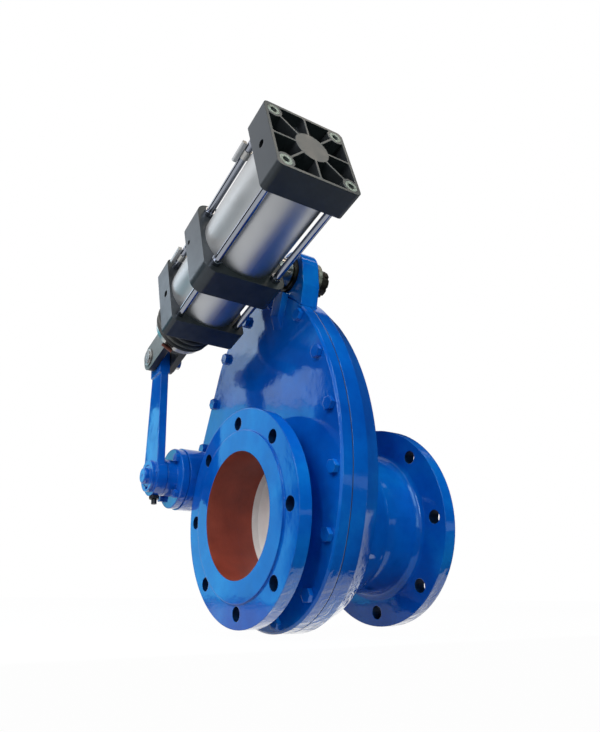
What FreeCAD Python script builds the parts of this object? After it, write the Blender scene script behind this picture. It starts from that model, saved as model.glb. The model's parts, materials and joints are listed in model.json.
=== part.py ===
import FreeCAD, Part
import Sketcher
import math
import os

# Ceramic oscillating valve, DN 200, with a pneumatic cylinder that swings the disc.
# Millimetres. The origin is the centre of the bolt circle on the inlet flange's bolting face.
# +Y runs through the bore from inlet to outlet, +Z is up, +X is right seen from the inlet.

DIMENSIONS = {
    # shared fits and small roundings
    "fit_gap": 0.1,
    "loose_gap": 0.3,
    "edge_round": 2.0,
    "round_share": 0.97,
    "cut_overrun": 1.0,
    # flow path and flanges
    "bore_radius": 100.0,
    "flange_radius": 170.0,
    "flange_thick": 24.0,
    "raised_radius": 134.0,
    "raised_step": 3.0,
    "bolt_circle_radius": 147.5,
    "flange_hole_radius": 11.0,
    "flange_hole_count": 8,
    "face_to_face": 305.0,
    "front_neck_radius": 120.0,
    "rear_neck_radius": 116.0,
    "rear_neck_root_margin": 18.0,
    "rear_neck_taper": 70.0,
    "neck_fillet": 12.0,
    # sector casing, seen from the front
    "shaft_x": -208.0,
    "shaft_z": 86.0,
    "swing_angle": 58.0,
    "case_radius": 177.0,
    "shaft_boss_radius": 74.0,
    "case_rim": 30.0,
    "cover_front": 57.0,
    "cover_thick": 20.0,
    "cover_chamfer": 3.0,
    "gasket_thick": 1.5,
    "gasket_inset": 0.5,
    "housing_wall": 10.1,
    "housing_taper_depth": 33.0,
    "housing_taper_inset": 15.0,
    # casing bolts
    "case_bolt_count": 15,
    "case_bolt_inset": 15.0,
    "case_bolt_first": 50.0,
    "case_bolt_last": 83.0,
    "case_bolt_radius": 6.0,
    "case_bolt_head_flats": 19.0,
    "case_bolt_head": 8.0,
    "case_bolt_grip": 24.0,
    # ceramic trim
    "seat_depth": 87.0,
    "seat_thick": 12.0,
    "seat_outer_radius": 124.0,
    "seat_stand_out": 2.0,
    "seal_section": 3.0,
    "disc_margin": 2.0,
    "disc_thick": 8.0,
    "disc_gap": 0.2,
    "carrier_thick": 10.0,
    "carrier_inner_radius": 98.0,
    "disc_spring_radius": 78.0,
    "disc_pin_radius": 30.0,
    # shaft
    "shaft_radius": 20.0,
    "shaft_tip_radius": 14.5,
    "shaft_tip_length": 9.0,
    "shaft_end_gap": 4.0,
    "shaft_clearance": 0.05,
    "bush_wall": 6.0,
    "bush_length": 36.0,
    "arm_hub_radius": 38.0,
    "arm_hub_extra": 6.0,
    "arm_width": 70.0,
    "key_width": 12.0,
    "key_height": 8.0,
    "key_length": 22.0,
    "key_end_gap": 3.0,
    "centre_hole_depth": 4.0,
    "centre_hole_radius": 2.5,
    "shaft_chamfer": 1.5,
    # stuffing box and gland
    "box_radius": 58.0,
    "box_front": 12.0,
    "box_bore_radius": 33.0,
    "box_bore_depth": 49.0,
    "packing_ring_count": 4,
    "packing_ring_thick": 7.0,
    "gland_radius": 56.0,
    "gland_thick": 14.0,
    "gland_lift": 1.0,
    "gland_boss_radius": 34.0,
    "gland_gap": 1.0,
    "gland_stud_circle_radius": 47.0,
    "gland_stud_radius": 5.0,
    "gland_stud_grip": 18.0,
    "gland_stud_spare": 2.0,
    "gland_stud_count": 4,
    "gland_nut_flats": 14.0,
    "gland_nut_thick": 8.0,
    # rear bearing
    "rear_boss_radius": 42.0,
    "rear_boss_length": 47.6,
    "rear_cap_thick": 10.0,
    "rear_cap_screw_circle_radius": 33.0,
    "rear_cap_screw_radius": 3.0,
    "rear_cap_screw_grip": 10.0,
    "rear_cap_hole_spare": 4.0,
    "rear_cap_screw_count": 4,
    "rear_cap_head_radius": 5.0,
    # lever
    "lever_length": 240.0,
    "lever_rest_angle": 94.0,
    "lever_plane": 53.0,
    "lever_thick": 15.0,
    "lever_root_width": 66.0,
    "lever_root_shift": 8.0,
    "lever_tip_width": 46.0,
    "lever_eye_thick": 21.0,
    "lever_eye_length": 36.0,
    "lever_hub_radius": 36.0,
    "lever_hub_back": 5.0,
    "lever_hub_face": 14.0,
    "lever_ring_face": 21.5,
    "lever_ring_radius": 29.0,
    "set_screw_radius": 5.0,
    "set_screw_length": 27.0,
    "set_screw_height": 6.0,
    "set_nut_flats": 17.0,
    "set_nut_thick": 6.0,
    # cylinder
    "trunnion_x": 73.0,
    "trunnion_lift": 42.7,
    "cap_side": 138.0,
    "cap_corner": 9.0,
    "rear_cap_face": 229.0,
    "rear_cap_depth": 45.0,
    "front_cap_face": 149.0,
    "front_cap_depth": 44.0,
    "barrel_radius": 65.0,
    "barrel_wall": 3.0,
    "tie_rod_radius": 6.0,
    "tie_rod_offset": 54.0,
    "block_side": 146.0,
    "block_thick": 52.0,
    "block_corner": 20.0,
    "cap_wall": 5.0,
    "cap_rib": 3.6,
    "cap_boss_radius": 28.0,
    "cap_nut_boss_radius": 14.0,
    "cap_corner_fillet": 3.0,
    "cap_window_depth": 30.0,
    "rear_port_inset": 24.0,
    "rear_port_boss_radius": 10.0,
    "rear_port_boss_length": 14.0,
    "front_port_inset": 27.0,
    "cushion_boss_radius": 9.0,
    "cushion_head_radius": 7.5,
    "cushion_head": 2.5,
    "cushion_thread_radius": 6.0,
    "cushion_thread_length": 10.0,
    "cushion_socket_flats": 6.0,
    "hole_clearance": 0.2,
    "tie_nut_radius": 10.0,
    "tie_nut_thick": 13.0,
    "tie_socket_depth": 7.0,
    "tie_socket_flats": 10.0,
    "grub_radius": 4.0,
    "grub_depth": 4.5,
    "grub_sunk": 1.0,
    "grub_x": -21.0,
    "grub_z": -15.0,
    "collar_radius": 8.5,
    "collar_length": 8.0,
    "port_radius": 5.9,
    "port_depth": 14.0,
    "piston_thick": 30.0,
    "piston_start": 8.0,
    "rod_radius": 16.0,
    "rod_thread_radius": 13.5,
    "rod_thread_length": 42.0,
    "rod_bush_wall": 6.0,
    "wiper_thick": 8.0,
    "piston_groove_first": 5.0,
    "piston_groove_pitch": 14.0,
    "piston_groove_width": 6.0,
    "piston_groove_depth": 5.0,
    "jam_nut_thick": 12.0,
    "jam_nut_flats": 41.0,
    # trunnion
    "trunnion_pin_radius": 16.0,
    "trunnion_boss_radius": 26.0,
    "trunnion_boss": 31.0,
    "ear_thick": 33.0,
    "ear_radius": 41.0,
    "ear_shoulder_drop": 35.0,
    "ear_foot_drop": 58.0,
    "ear_foot_half": 25.5,
    "gusset_angle": 67.0,
    "gusset_top": 34.0,
    "gusset_foot": 97.6,
    "gusset_slope": 22.0,
    "gusset_width": 25.0,
    "gusset_thick": 12.0,
    "ear_bush_wall": 5.0,
    "thrust_ring_radius": 31.0,
    "trunnion_washer_radius": 32.0,
    "trunnion_washer_thick": 8.0,
    "trunnion_nut_radius": 23.5,
    "trunnion_nut_thick": 20.0,
    "nut_slot_width": 5.0,
    "nut_slot_depth": 2.0,
    "nut_slot_count": 8,
    # clevis
    "fork_side": 50.0,
    "fork_slot": 24.0,
    "fork_slot_depth": 62.0,
    "fork_shank_radius": 21.0,
    "fork_shank_end": 105.0,
    "clevis_pin_radius": 13.0,
    "fork_web": 12.0,
    "fork_corner": 4.0,
    "pin_near_end": 5.0,
    "pin_far_end": 15.0,
    "snap_ring_gap": 0.5,
    "snap_ring_thick": 2.0,
    "snap_ring_bite": 1.0,
    "snap_ring_radius": 17.0,
    "pin_washer_radius": 21.0,
    "pin_washer_thick": 4.0,
    "split_pin_radius": 2.5,
    "split_pin_height": 9.0,
    "split_pin_spare": 12.0,
    "split_pin_tail": 14.0,
    "split_eye_radius": 4.0,
    "split_tail_radius": 1.75,
    "split_tail_angle": 38.0,
    # bellows
    "bellows_radius": 59.0,
    "bellows_wall": 2.5,
    "bellows_fold_count": 4,
    "bellows_fold_depth": 9.0,
    "collar_plate_radius": 43.0,
    "collar_plate_thick": 12.0,
    "collar_step": 1.5,
    "clamp_thick": 1.6,
    "clamp_width": 9.0,
    "clamp_housing_length": 16.0,
    "clamp_housing_height": 3.0,
    "clamp_screw_radius": 3.5,
    "clamp_screw_length": 22.0,
    "clamp_screw_angle": -35.0,
    # sensors
    "sensor_length": 34.0,
    "sensor_side": 7.0,
    "sensor_clamp_radius": 7.5,
    "sensor_clamp_length": 14.0,
    "rear_sensor_height": 150.0,
    "front_sensor_height": -78.0,
}

doc = FreeCAD.newDocument("ceramic_oscillating_valve")
sheet = doc.addObject("Spreadsheet::Sheet", "Dims")
for row, (alias, number) in enumerate(DIMENSIONS.items(), 1):
    sheet.set("A%d" % row, alias)
    sheet.set("B%d" % row, str(number))
    sheet.setAlias("B%d" % row, alias)
doc.recompute()


class Size:
    """A length or angle that keeps its number together with its spreadsheet expression."""

    def __init__(self, number, text):
        self.number = float(number)
        self.text = text

    def join(self, other, sign, number):
        other_text = other.text if isinstance(other, Size) else repr(float(other))
        return Size(number, "(%s %s %s)" % (self.text, sign, other_text))

    def __add__(self, other):
        return self.join(other, "+", self.number + plain(other))

    def __sub__(self, other):
        return self.join(other, "-", self.number - plain(other))

    def __mul__(self, other):
        return self.join(other, "*", self.number * plain(other))

    def __truediv__(self, other):
        return self.join(other, "/", self.number / plain(other))

    def __neg__(self):
        return Size(-self.number, "(-1 * %s)" % self.text)


def plain(value):
    return value.number if isinstance(value, Size) else float(value)


def sized(value):
    return value if isinstance(value, Size) else Size(value, repr(float(value)))


def cosine(angle):
    return Size(math.cos(math.radians(angle.number)), "cos(%s)" % angle.text)


def sine(angle):
    return Size(math.sin(math.radians(angle.number)), "sin(%s)" % angle.text)


def hypotenuse(one, two):
    return Size(math.hypot(one.number, two.number), "hypot(%s; %s)" % (one.text, two.text))


def leg(longest, other):
    """The third side of a right triangle."""
    return Size(math.sqrt(longest.number ** 2 - other.number ** 2),
                "sqrt((%s) ^ 2 - (%s) ^ 2)" % (longest.text, other.text))


class Dims:
    pass


d = Dims()
for alias, number in DIMENSIONS.items():
    setattr(d, alias, Size(number, "Dims." + alias))


def bind(thing, place, size):
    """Ties one property or constraint to the spreadsheet."""
    thing.setExpression(place, sized(size).text)


# Places worked out from the driving dimensions.
reach = hypotenuse(d.shaft_x, d.shaft_z)
park_x = d.shaft_x - d.shaft_x * cosine(d.swing_angle) + d.shaft_z * sine(d.swing_angle)
park_z = d.shaft_z - d.shaft_x * sine(d.swing_angle) - d.shaft_z * cosine(d.swing_angle)
cover_back = d.cover_front + d.cover_thick
housing_front = cover_back + d.gasket_thick
seat_face = d.seat_depth + d.seat_thick
disc_front = seat_face + d.disc_gap
carrier_front = disc_front + d.disc_thick
carrier_back = carrier_front + d.carrier_thick
rear_disc_back = carrier_back + d.disc_thick
rear_seat_front = rear_disc_back + d.disc_gap
rear_seat_back = rear_seat_front + d.seat_thick
cavity_back = rear_seat_front + d.seat_stand_out
housing_back = cavity_back + d.housing_wall
taper_start = housing_back - d.housing_taper_depth
rear_boss_end = cavity_back + d.rear_boss_length
cavity_radius = d.case_radius - d.case_rim
disc_radius = d.seat_outer_radius - d.disc_margin
carrier_radius = (disc_radius + cavity_radius) / 2
inlet_back = d.flange_thick - d.raised_step
outlet_face = d.face_to_face - d.raised_step
outlet_back = outlet_face - d.flange_thick
rim_z = park_z + leg(d.case_radius, d.trunnion_x - park_x)
trunnion_z = rim_z + d.trunnion_lift
pin_x = d.shaft_x + d.lever_length * cosine(d.lever_rest_angle)
pin_z = d.shaft_z + d.lever_length * sine(d.lever_rest_angle)
pin_distance = hypotenuse(d.trunnion_x - pin_x, trunnion_z - pin_z)
cylinder_angle = math.degrees(math.atan2((trunnion_z - pin_z).number, (d.trunnion_x - pin_x).number))

# Front view: local x is right, local y is up and local z comes towards the viewer.
FRONT = FreeCAD.Rotation(FreeCAD.Vector(1, 0, 0), 90)
# Through view: local z runs with the flow.
THROUGH = FreeCAD.Rotation(FreeCAD.Vector(1, 0, 0), -90)
# Cylinder frame: local z runs from the clevis to the rear cap, local y goes to the back.
ALONG = FreeCAD.Rotation(FreeCAD.Vector(0, 1, 0), 90 - cylinder_angle)


def place(x, y, z, rotation):
    return FreeCAD.Placement(FreeCAD.Vector(plain(x), plain(y), plain(z)), rotation)


AT_BORE_FRONT = place(0, 0, 0, FRONT)
AT_BORE_THROUGH = place(0, 0, 0, THROUGH)
AT_SHAFT_THROUGH = place(d.shaft_x, 0, d.shaft_z, THROUGH)
AT_LEVER = place(d.shaft_x, -d.lever_plane, d.shaft_z,
                 FRONT * FreeCAD.Rotation(FreeCAD.Vector(0, 0, 1), plain(d.lever_rest_angle)))
AT_CYLINDER = place(d.trunnion_x, -d.lever_plane, trunnion_z, ALONG)
AT_TRUNNION = place(d.trunnion_x, 0, trunnion_z, THROUGH)


def new_body(name, placement):
    body = doc.addObject("PartDesign::Body", name)
    body.Label = name
    body.Placement = placement
    return body


def new_sketch(body, role, name, offset=0.0):
    """A sketch on one of the body's own origin planes, moved along its normal."""
    sketch = body.newObject("Sketcher::SketchObject", name)
    plane = [item for item in body.Origin.OriginFeatures if item.Role == role][0]
    sketch.AttachmentSupport = [(plane, "")]
    sketch.MapMode = "FlatFace"
    sketch.AttachmentOffset = FreeCAD.Placement(FreeCAD.Vector(0, 0, plain(offset)), FreeCAD.Rotation())
    if isinstance(offset, Size):
        bind(sketch, "AttachmentOffset.Base.z", offset)
    return sketch


def pin_point(sketch, geometry, vertex, x, y):
    """Fixes a vertex of the sketch at x, y from its origin."""
    for kind, axis, value in (("DistanceX", -2, x), ("DistanceY", -1, y)):
        value = sized(value)
        if abs(value.number) < 1e-9:
            sketch.addConstraint(Sketcher.Constraint("PointOnObject", geometry, vertex, axis))
        else:
            index = sketch.addConstraint(Sketcher.Constraint(kind, -1, 1, geometry, vertex, value.number))
            bind(sketch, "Constraints[%d]" % index, value)


def add_circle(sketch, x, y, radius):
    centre = FreeCAD.Vector(plain(x), plain(y), 0)
    index = sketch.addGeometry(Part.Circle(centre, FreeCAD.Vector(0, 0, 1), plain(radius)), False)
    pin_point(sketch, index, 3, x, y)
    rule = sketch.addConstraint(Sketcher.Constraint("Radius", index, plain(radius)))
    bind(sketch, "Constraints[%d]" % rule, radius)
    return index


def add_outline(sketch, corners):
    """A closed outline of straight edges; a third value at a corner is its rounding radius."""
    corners = [tuple(corner) + (0.0,) * (3 - len(corner)) for corner in corners]
    count = len(corners)
    points = [FreeCAD.Vector(plain(x), plain(y), 0) for x, y, _ in corners]
    ends = []
    for index, (_, _, radius) in enumerate(corners):
        here, before, after = points[index], points[index - 1], points[(index + 1) % count]
        to_before = (before - here).normalize()
        to_after = (after - here).normalize()
        if plain(radius) > 0:
            half = to_before.getAngle(to_after) / 2
            run = plain(radius) / math.tan(half)
            middle = here + (to_before + to_after).normalize() * (plain(radius) / math.sin(half))
            ends.append((here + to_before * run, here + to_after * run, middle))
        else:
            ends.append((here, here, None))
    lines = []
    for index in range(count):
        start = ends[index][1]
        stop = ends[(index + 1) % count][0]
        lines.append(sketch.addGeometry(Part.LineSegment(start, stop), False))
    for index, (x, y, radius) in enumerate(corners):
        before, after = lines[index - 1], lines[index]
        if plain(radius) <= 0:
            sketch.addConstraint(Sketcher.Constraint("Coincident", before, 2, after, 1))
            pin_point(sketch, after, 1, x, y)
            continue
        enter, leave, middle = ends[index]
        first = math.atan2(enter.y - middle.y, enter.x - middle.x)
        last = math.atan2(leave.y - middle.y, leave.x - middle.x)
        turn = (last - first) % (2 * math.pi)
        backwards = turn > math.pi
        circle = Part.Circle(middle, FreeCAD.Vector(0, 0, 1), plain(radius))
        arc = Part.ArcOfCircle(circle, last, first) if backwards else Part.ArcOfCircle(circle, first, last)
        arc = sketch.addGeometry(arc, False)
        corner = sketch.addGeometry(Part.Point(points[index]), True)
        pin_point(sketch, corner, 1, x, y)
        sketch.addConstraint(Sketcher.Constraint("PointOnObject", corner, 1, before))
        sketch.addConstraint(Sketcher.Constraint("PointOnObject", corner, 1, after))
        arc_enter, arc_leave = (2, 1) if backwards else (1, 2)
        sketch.addConstraint(Sketcher.Constraint("Tangent", before, 2, arc, arc_enter))
        sketch.addConstraint(Sketcher.Constraint("Tangent", after, 1, arc, arc_leave))
        rule = sketch.addConstraint(Sketcher.Constraint("Radius", arc, plain(radius)))
        bind(sketch, "Constraints[%d]" % rule, radius)


def pad(body, sketch, name, length, reverse=False):
    feature = body.newObject("PartDesign::Pad", name)
    feature.Profile = sketch
    feature.Reversed = reverse
    bind(feature, "Length", length)
    body.Tip = feature
    return feature


def pocket(body, sketch, name, length=None, reverse=False):
    """Cuts the sketch away from the viewer's side, or right through where no length is given."""
    feature = body.newObject("PartDesign::Pocket", name)
    feature.Profile = sketch
    feature.Reversed = reverse
    if length is None:
        feature.Type = "ThroughAll"
        feature.Midplane = True
    else:
        bind(feature, "Length", length)
    body.Tip = feature
    return feature


def loft(body, name, start, finish):
    """A straight-sided loft between two sketches."""
    feature = body.newObject("PartDesign::AdditiveLoft", name)
    feature.Profile = start
    feature.Sections = [finish]
    feature.Ruled = True
    body.Tip = feature
    return feature


def turn(body, name, corners, cut=False):
    """Revolves a profile of radius and height round the body's own z axis."""
    sketch = new_sketch(body, "XZ_Plane", name + "_profile")
    add_outline(sketch, corners)
    feature = body.newObject("PartDesign::Groove" if cut else "PartDesign::Revolution", name)
    feature.Profile = sketch
    feature.ReferenceAxis = (sketch, ["V_Axis"])
    feature.Angle = 360
    body.Tip = feature
    return feature


def repeat(body, feature, name, count):
    """Copies a cut or pad evenly round the body's z axis."""
    pattern = body.newObject("PartDesign::PolarPattern", name)
    pattern.Originals = [feature]
    axis = [item for item in body.Origin.OriginFeatures if item.Role == "Z_Axis"][0]
    pattern.Axis = (axis, [""])
    pattern.Angle = 360
    bind(pattern, "Occurrences", count)
    body.Tip = pattern
    return pattern


def lathe(name, placement, corners):
    body = new_body(name, placement)
    turn(body, name + "_turned", corners)
    return body


def ring(name, placement, inner, outer, start, end):
    return lathe(name, placement, [(inner, start), (outer, start), (outer, end), (inner, end)])


def rod(name, placement, radius, start, end):
    return lathe(name, placement, [(0, start), (radius, start), (radius, end), (0, end)])


def solid_cylinder(name, radius, length, placement):
    piece = doc.addObject("Part::Cylinder", name)
    bind(piece, "Radius", radius)
    bind(piece, "Height", length)
    piece.Placement = placement
    return piece


def solid_prism(name, flats, length, placement):
    piece = doc.addObject("Part::Prism", name)
    piece.Polygon = 6
    bind(piece, "Circumradius", flats / math.sqrt(3))
    bind(piece, "Height", length)
    piece.Placement = placement
    return piece


def join(name, pieces):
    piece = doc.addObject("Part::MultiFuse", name)
    piece.Shapes = pieces
    return piece


def cut(name, base, tool):
    piece = doc.addObject("Part::Cut", name)
    piece.Base = base
    piece.Tool = tool
    return piece


def hex_nut(name, flats, hole_radius, thick, placement):
    """A hexagonal nut standing on the placement's origin."""
    blank = solid_prism(name + "_blank", flats, thick, placement)
    hole = solid_cylinder(name + "_hole", hole_radius, thick, placement)
    nut = cut(name, blank, hole)
    nut.Label = name
    return nut


def group(name, pieces):
    """Identical fasteners in one node, as separate solids."""
    piece = doc.addObject("Part::Compound", name)
    piece.Label = name
    piece.Links = pieces
    return piece


NODES = []
# Screws in fours stand at the corners of a square.
QUARTER_START = 45


def keep(piece):
    NODES.append(piece)
    return piece


def polar(radius, degrees):
    """A point of a circle as two sizes."""
    angle = Size(degrees, repr(float(degrees)))
    return radius * cosine(angle), radius * sine(angle)


def shaft_polar(radius, index, count):
    """One of several evenly spaced points round the shaft, seen from the front."""
    along, up = polar(radius, QUARTER_START + 360 * index / count.number)
    return d.shaft_x + along, d.shaft_z + up


# The sector outline of the casing, seen from the front.

def case_frame(inset):
    """Centres and radii of the outline's four arcs, and the angles where they meet."""
    wide = plain(d.case_radius) - plain(inset)
    small = plain(d.shaft_boss_radius) - plain(inset)
    to_bore = math.degrees(math.atan2(-plain(d.shaft_z), -plain(d.shaft_x)))
    to_park = to_bore + plain(d.swing_angle)
    lean = math.degrees(math.acos(-(wide - small) / plain(reach)))
    return wide, small, to_bore, to_park, lean


def add_case_outline(sketch, inset=0.0):
    to_bore, to_park, lean = case_frame(inset)[2:]
    circles = [
        (0.0, 0.0, d.case_radius - inset, to_bore - lean, to_bore),
        (d.shaft_x, d.shaft_z, reach + d.case_radius - inset, to_bore, to_park),
        (park_x, park_z, d.case_radius - inset, to_park, to_park + lean),
        (d.shaft_x, d.shaft_z, d.shaft_boss_radius - inset, to_park + lean, to_bore - lean + 360),
    ]
    arcs = []
    for x, z, radius, first, last in circles:
        centre = FreeCAD.Vector(plain(x), plain(z), 0)
        circle = Part.Circle(centre, FreeCAD.Vector(0, 0, 1), plain(radius))
        arc = Part.ArcOfCircle(circle, math.radians(first), math.radians(last))
        arcs.append(sketch.addGeometry(arc, False))
    lines = []
    for start, end in ((2, 3), (3, 0)):
        first = sketch.getPoint(arcs[start], 2)
        last = sketch.getPoint(arcs[end], 1)
        lines.append(sketch.addGeometry(Part.LineSegment(first, last), False))
    for arc, (x, z, radius, _, _) in zip(arcs, circles):
        pin_point(sketch, arc, 3, x, z)
    for index in (0, 3):
        rule = sketch.addConstraint(Sketcher.Constraint("Radius", arcs[index], plain(circles[index][2])))
        bind(sketch, "Constraints[%d]" % rule, circles[index][2])
    sketch.addConstraint(Sketcher.Constraint("Tangent", arcs[0], 2, arcs[1], 1))
    sketch.addConstraint(Sketcher.Constraint("Tangent", arcs[1], 2, arcs[2], 1))
    sketch.addConstraint(Sketcher.Constraint("Tangent", arcs[2], 2, lines[0], 1))
    sketch.addConstraint(Sketcher.Constraint("Tangent", lines[0], 2, arcs[3], 1))
    sketch.addConstraint(Sketcher.Constraint("Tangent", arcs[3], 2, lines[1], 1))
    sketch.addConstraint(Sketcher.Constraint("Tangent", lines[1], 2, arcs[0], 1))


def case_bolt_places():
    """Points spaced evenly along the outline, inset from the edge, starting above the shaft boss."""
    wide, small, to_bore, to_park, lean = case_frame(d.case_bolt_inset)
    shaft = FreeCAD.Vector(plain(d.shaft_x), plain(d.shaft_z), 0)
    park = FreeCAD.Vector(plain(park_x), plain(park_z), 0)
    far = plain(reach) + wide

    def on(centre, radius, degrees):
        angle = math.radians(degrees)
        return centre + FreeCAD.Vector(math.cos(angle), math.sin(angle), 0) * radius

    straight = math.sqrt(plain(reach) ** 2 - (wide - small) ** 2)
    turned = math.radians(lean) * wide
    swept = math.radians(plain(d.swing_angle)) * far
    length = 2 * straight + 2 * turned + swept
    step = (length - plain(d.case_bolt_first) - plain(d.case_bolt_last)) / (d.case_bolt_count.number - 1)
    places = []
    for index in range(int(d.case_bolt_count.number)):
        run = plain(d.case_bolt_first) + index * step
        if run < straight:
            start = on(shaft, small, to_park + lean)
            places.append(start + (on(park, wide, to_park + lean) - start) * (run / straight))
            continue
        run -= straight
        if run < turned:
            places.append(on(park, wide, to_park + lean - math.degrees(run / wide)))
            continue
        run -= turned
        if run < swept:
            places.append(on(shaft, far, to_park - math.degrees(run / far)))
            continue
        run -= swept
        if run < turned:
            places.append(on(FreeCAD.Vector(), wide, to_bore - math.degrees(run / wide)))
            continue
        run -= turned
        start = on(FreeCAD.Vector(), wide, to_bore - lean)
        places.append(start + (on(shaft, small, to_bore - lean) - start) * (run / straight))
    return places


BOLT_PLACES = case_bolt_places()


def add_bolt_circles(sketch, radius):
    for point in BOLT_PLACES:
        index = sketch.addGeometry(Part.Circle(point, FreeCAD.Vector(0, 0, 1), plain(radius)), False)
        rule = sketch.addConstraint(Sketcher.Constraint("Radius", index, plain(radius)))
        bind(sketch, "Constraints[%d]" % rule, radius)


def flange_holes(body, name, front, length):
    """The eight bolt holes of one flange, cut from its face at the local height front."""
    sketch = new_sketch(body, "XY_Plane", name + "_sketch", front)
    add_circle(sketch, d.bolt_circle_radius, 0, d.flange_hole_radius)
    hole = pocket(body, sketch, name + "_first", length)
    return repeat(body, hole, name, d.flange_hole_count)


def loft_outline(body, name, depth, inset, end_depth, end_inset):
    """Joins two insets of the casing outline, at two depths."""
    start = new_sketch(body, "XY_Plane", name + "_start", -depth)
    add_case_outline(start, inset)
    finish = new_sketch(body, "XY_Plane", name + "_end", -end_depth)
    add_case_outline(finish, end_inset)
    return loft(body, name, start, finish)


# Casing

def add_gusset(body):
    """A bar on the cover that stiffens the ear; its foot slopes down to the plate."""
    along_x, along_z = cosine(d.gusset_angle), sine(d.gusset_angle)
    half = d.gusset_width / 2

    def corner(run, side):
        return (d.trunnion_x - along_x * run + along_z * half * side,
                trunnion_z - along_z * run - along_x * half * side)

    sketches = []
    for name, depth, foot in (("root", d.cover_front, d.gusset_foot),
                              ("face", d.cover_front - d.gusset_thick, d.gusset_foot - d.gusset_slope)):
        sketch = new_sketch(body, "XY_Plane", "gusset_" + name, -depth)
        add_outline(sketch, [corner(d.gusset_top, -1), corner(foot, -1),
                             corner(foot, 1), corner(d.gusset_top, 1)])
        sketches.append(sketch)
    return loft(body, "gusset", *sketches)


def make_front_cover():
    body = new_body("front_cover", AT_BORE_FRONT)
    seat_hub_radius = (d.seat_outer_radius + cavity_radius) / 2
    sketch = new_sketch(body, "XY_Plane", "cover_outline", -cover_back)
    add_case_outline(sketch)
    pad(body, sketch, "cover_plate", d.cover_thick - d.cover_chamfer)
    loft_outline(body, "cover_edge", d.cover_front + d.cover_chamfer, 0.0, d.cover_front, d.cover_chamfer)
    sketch = new_sketch(body, "XY_Plane", "inlet_bore_outline", -d.cover_front)
    add_circle(sketch, 0, 0, d.bore_radius)
    pocket(body, sketch, "inlet_bore", d.cover_thick)
    sketch = new_sketch(body, "XY_Plane", "box_outline", -d.cover_front)
    add_circle(sketch, d.shaft_x, d.shaft_z, d.box_radius)
    pad(body, sketch, "stuffing_box", d.cover_front + d.box_front)
    # the inlet flange passes the box in a shallow relief
    sketch = new_sketch(body, "XY_Plane", "flange_relief_outline", d.box_front)
    add_circle(sketch, 0, 0, d.flange_radius + d.loose_gap)
    pocket(body, sketch, "flange_relief", d.box_front + inlet_back + d.loose_gap)
    turn(body, "seat_hub", [
        (d.bore_radius, -d.cover_front - d.cut_overrun),
        (seat_hub_radius, -d.cover_front - d.cut_overrun),
        (seat_hub_radius, -seat_face + d.seat_stand_out),
        (d.seat_outer_radius + d.fit_gap, -seat_face + d.seat_stand_out),
        (d.seat_outer_radius + d.fit_gap, -d.seat_depth),
        (d.bore_radius, -d.seat_depth),
    ])
    add_gusset(body)
    sketch = new_sketch(body, "XY_Plane", "box_bore_outline", d.box_front)
    add_circle(sketch, d.shaft_x, d.shaft_z, d.box_bore_radius)
    pocket(body, sketch, "box_bore", d.box_bore_depth)
    sketch = new_sketch(body, "XY_Plane", "front_bush_bore_outline", d.box_front)
    add_circle(sketch, d.shaft_x, d.shaft_z, d.shaft_radius + d.bush_wall)
    pocket(body, sketch, "front_bush_bore", cover_back + d.box_front)
    sketch = new_sketch(body, "XY_Plane", "cover_bolt_circles", -d.cover_front)
    add_bolt_circles(sketch, d.case_bolt_radius + d.fit_gap)
    pocket(body, sketch, "cover_bolt_holes", d.cover_thick)
    sketch = new_sketch(body, "XY_Plane", "stud_circle_sketch", d.box_front)
    for index in range(int(d.gland_stud_count.number)):
        add_circle(sketch, *shaft_polar(d.gland_stud_circle_radius, index, d.gland_stud_count),
                   d.gland_stud_radius)
    pocket(body, sketch, "stud_holes", d.gland_stud_grip + d.gland_stud_spare)
    return keep(body)


def make_inlet_flange():
    """The inlet flange and its neck, welded to the cover round the bore."""
    body = new_body("inlet_flange", AT_BORE_FRONT)
    turn(body, "inlet_neck", [
        (d.bore_radius, d.raised_step),
        (d.raised_radius, d.raised_step),
        (d.raised_radius, 0),
        (d.flange_radius, 0),
        (d.flange_radius, -inlet_back),
        (d.front_neck_radius, -inlet_back, d.neck_fillet / 2),
        (d.front_neck_radius, -d.cover_front),
        (d.bore_radius, -d.cover_front),
    ])
    flange_holes(body, "inlet_bolt_holes", 0, inlet_back)
    return keep(body)


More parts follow.
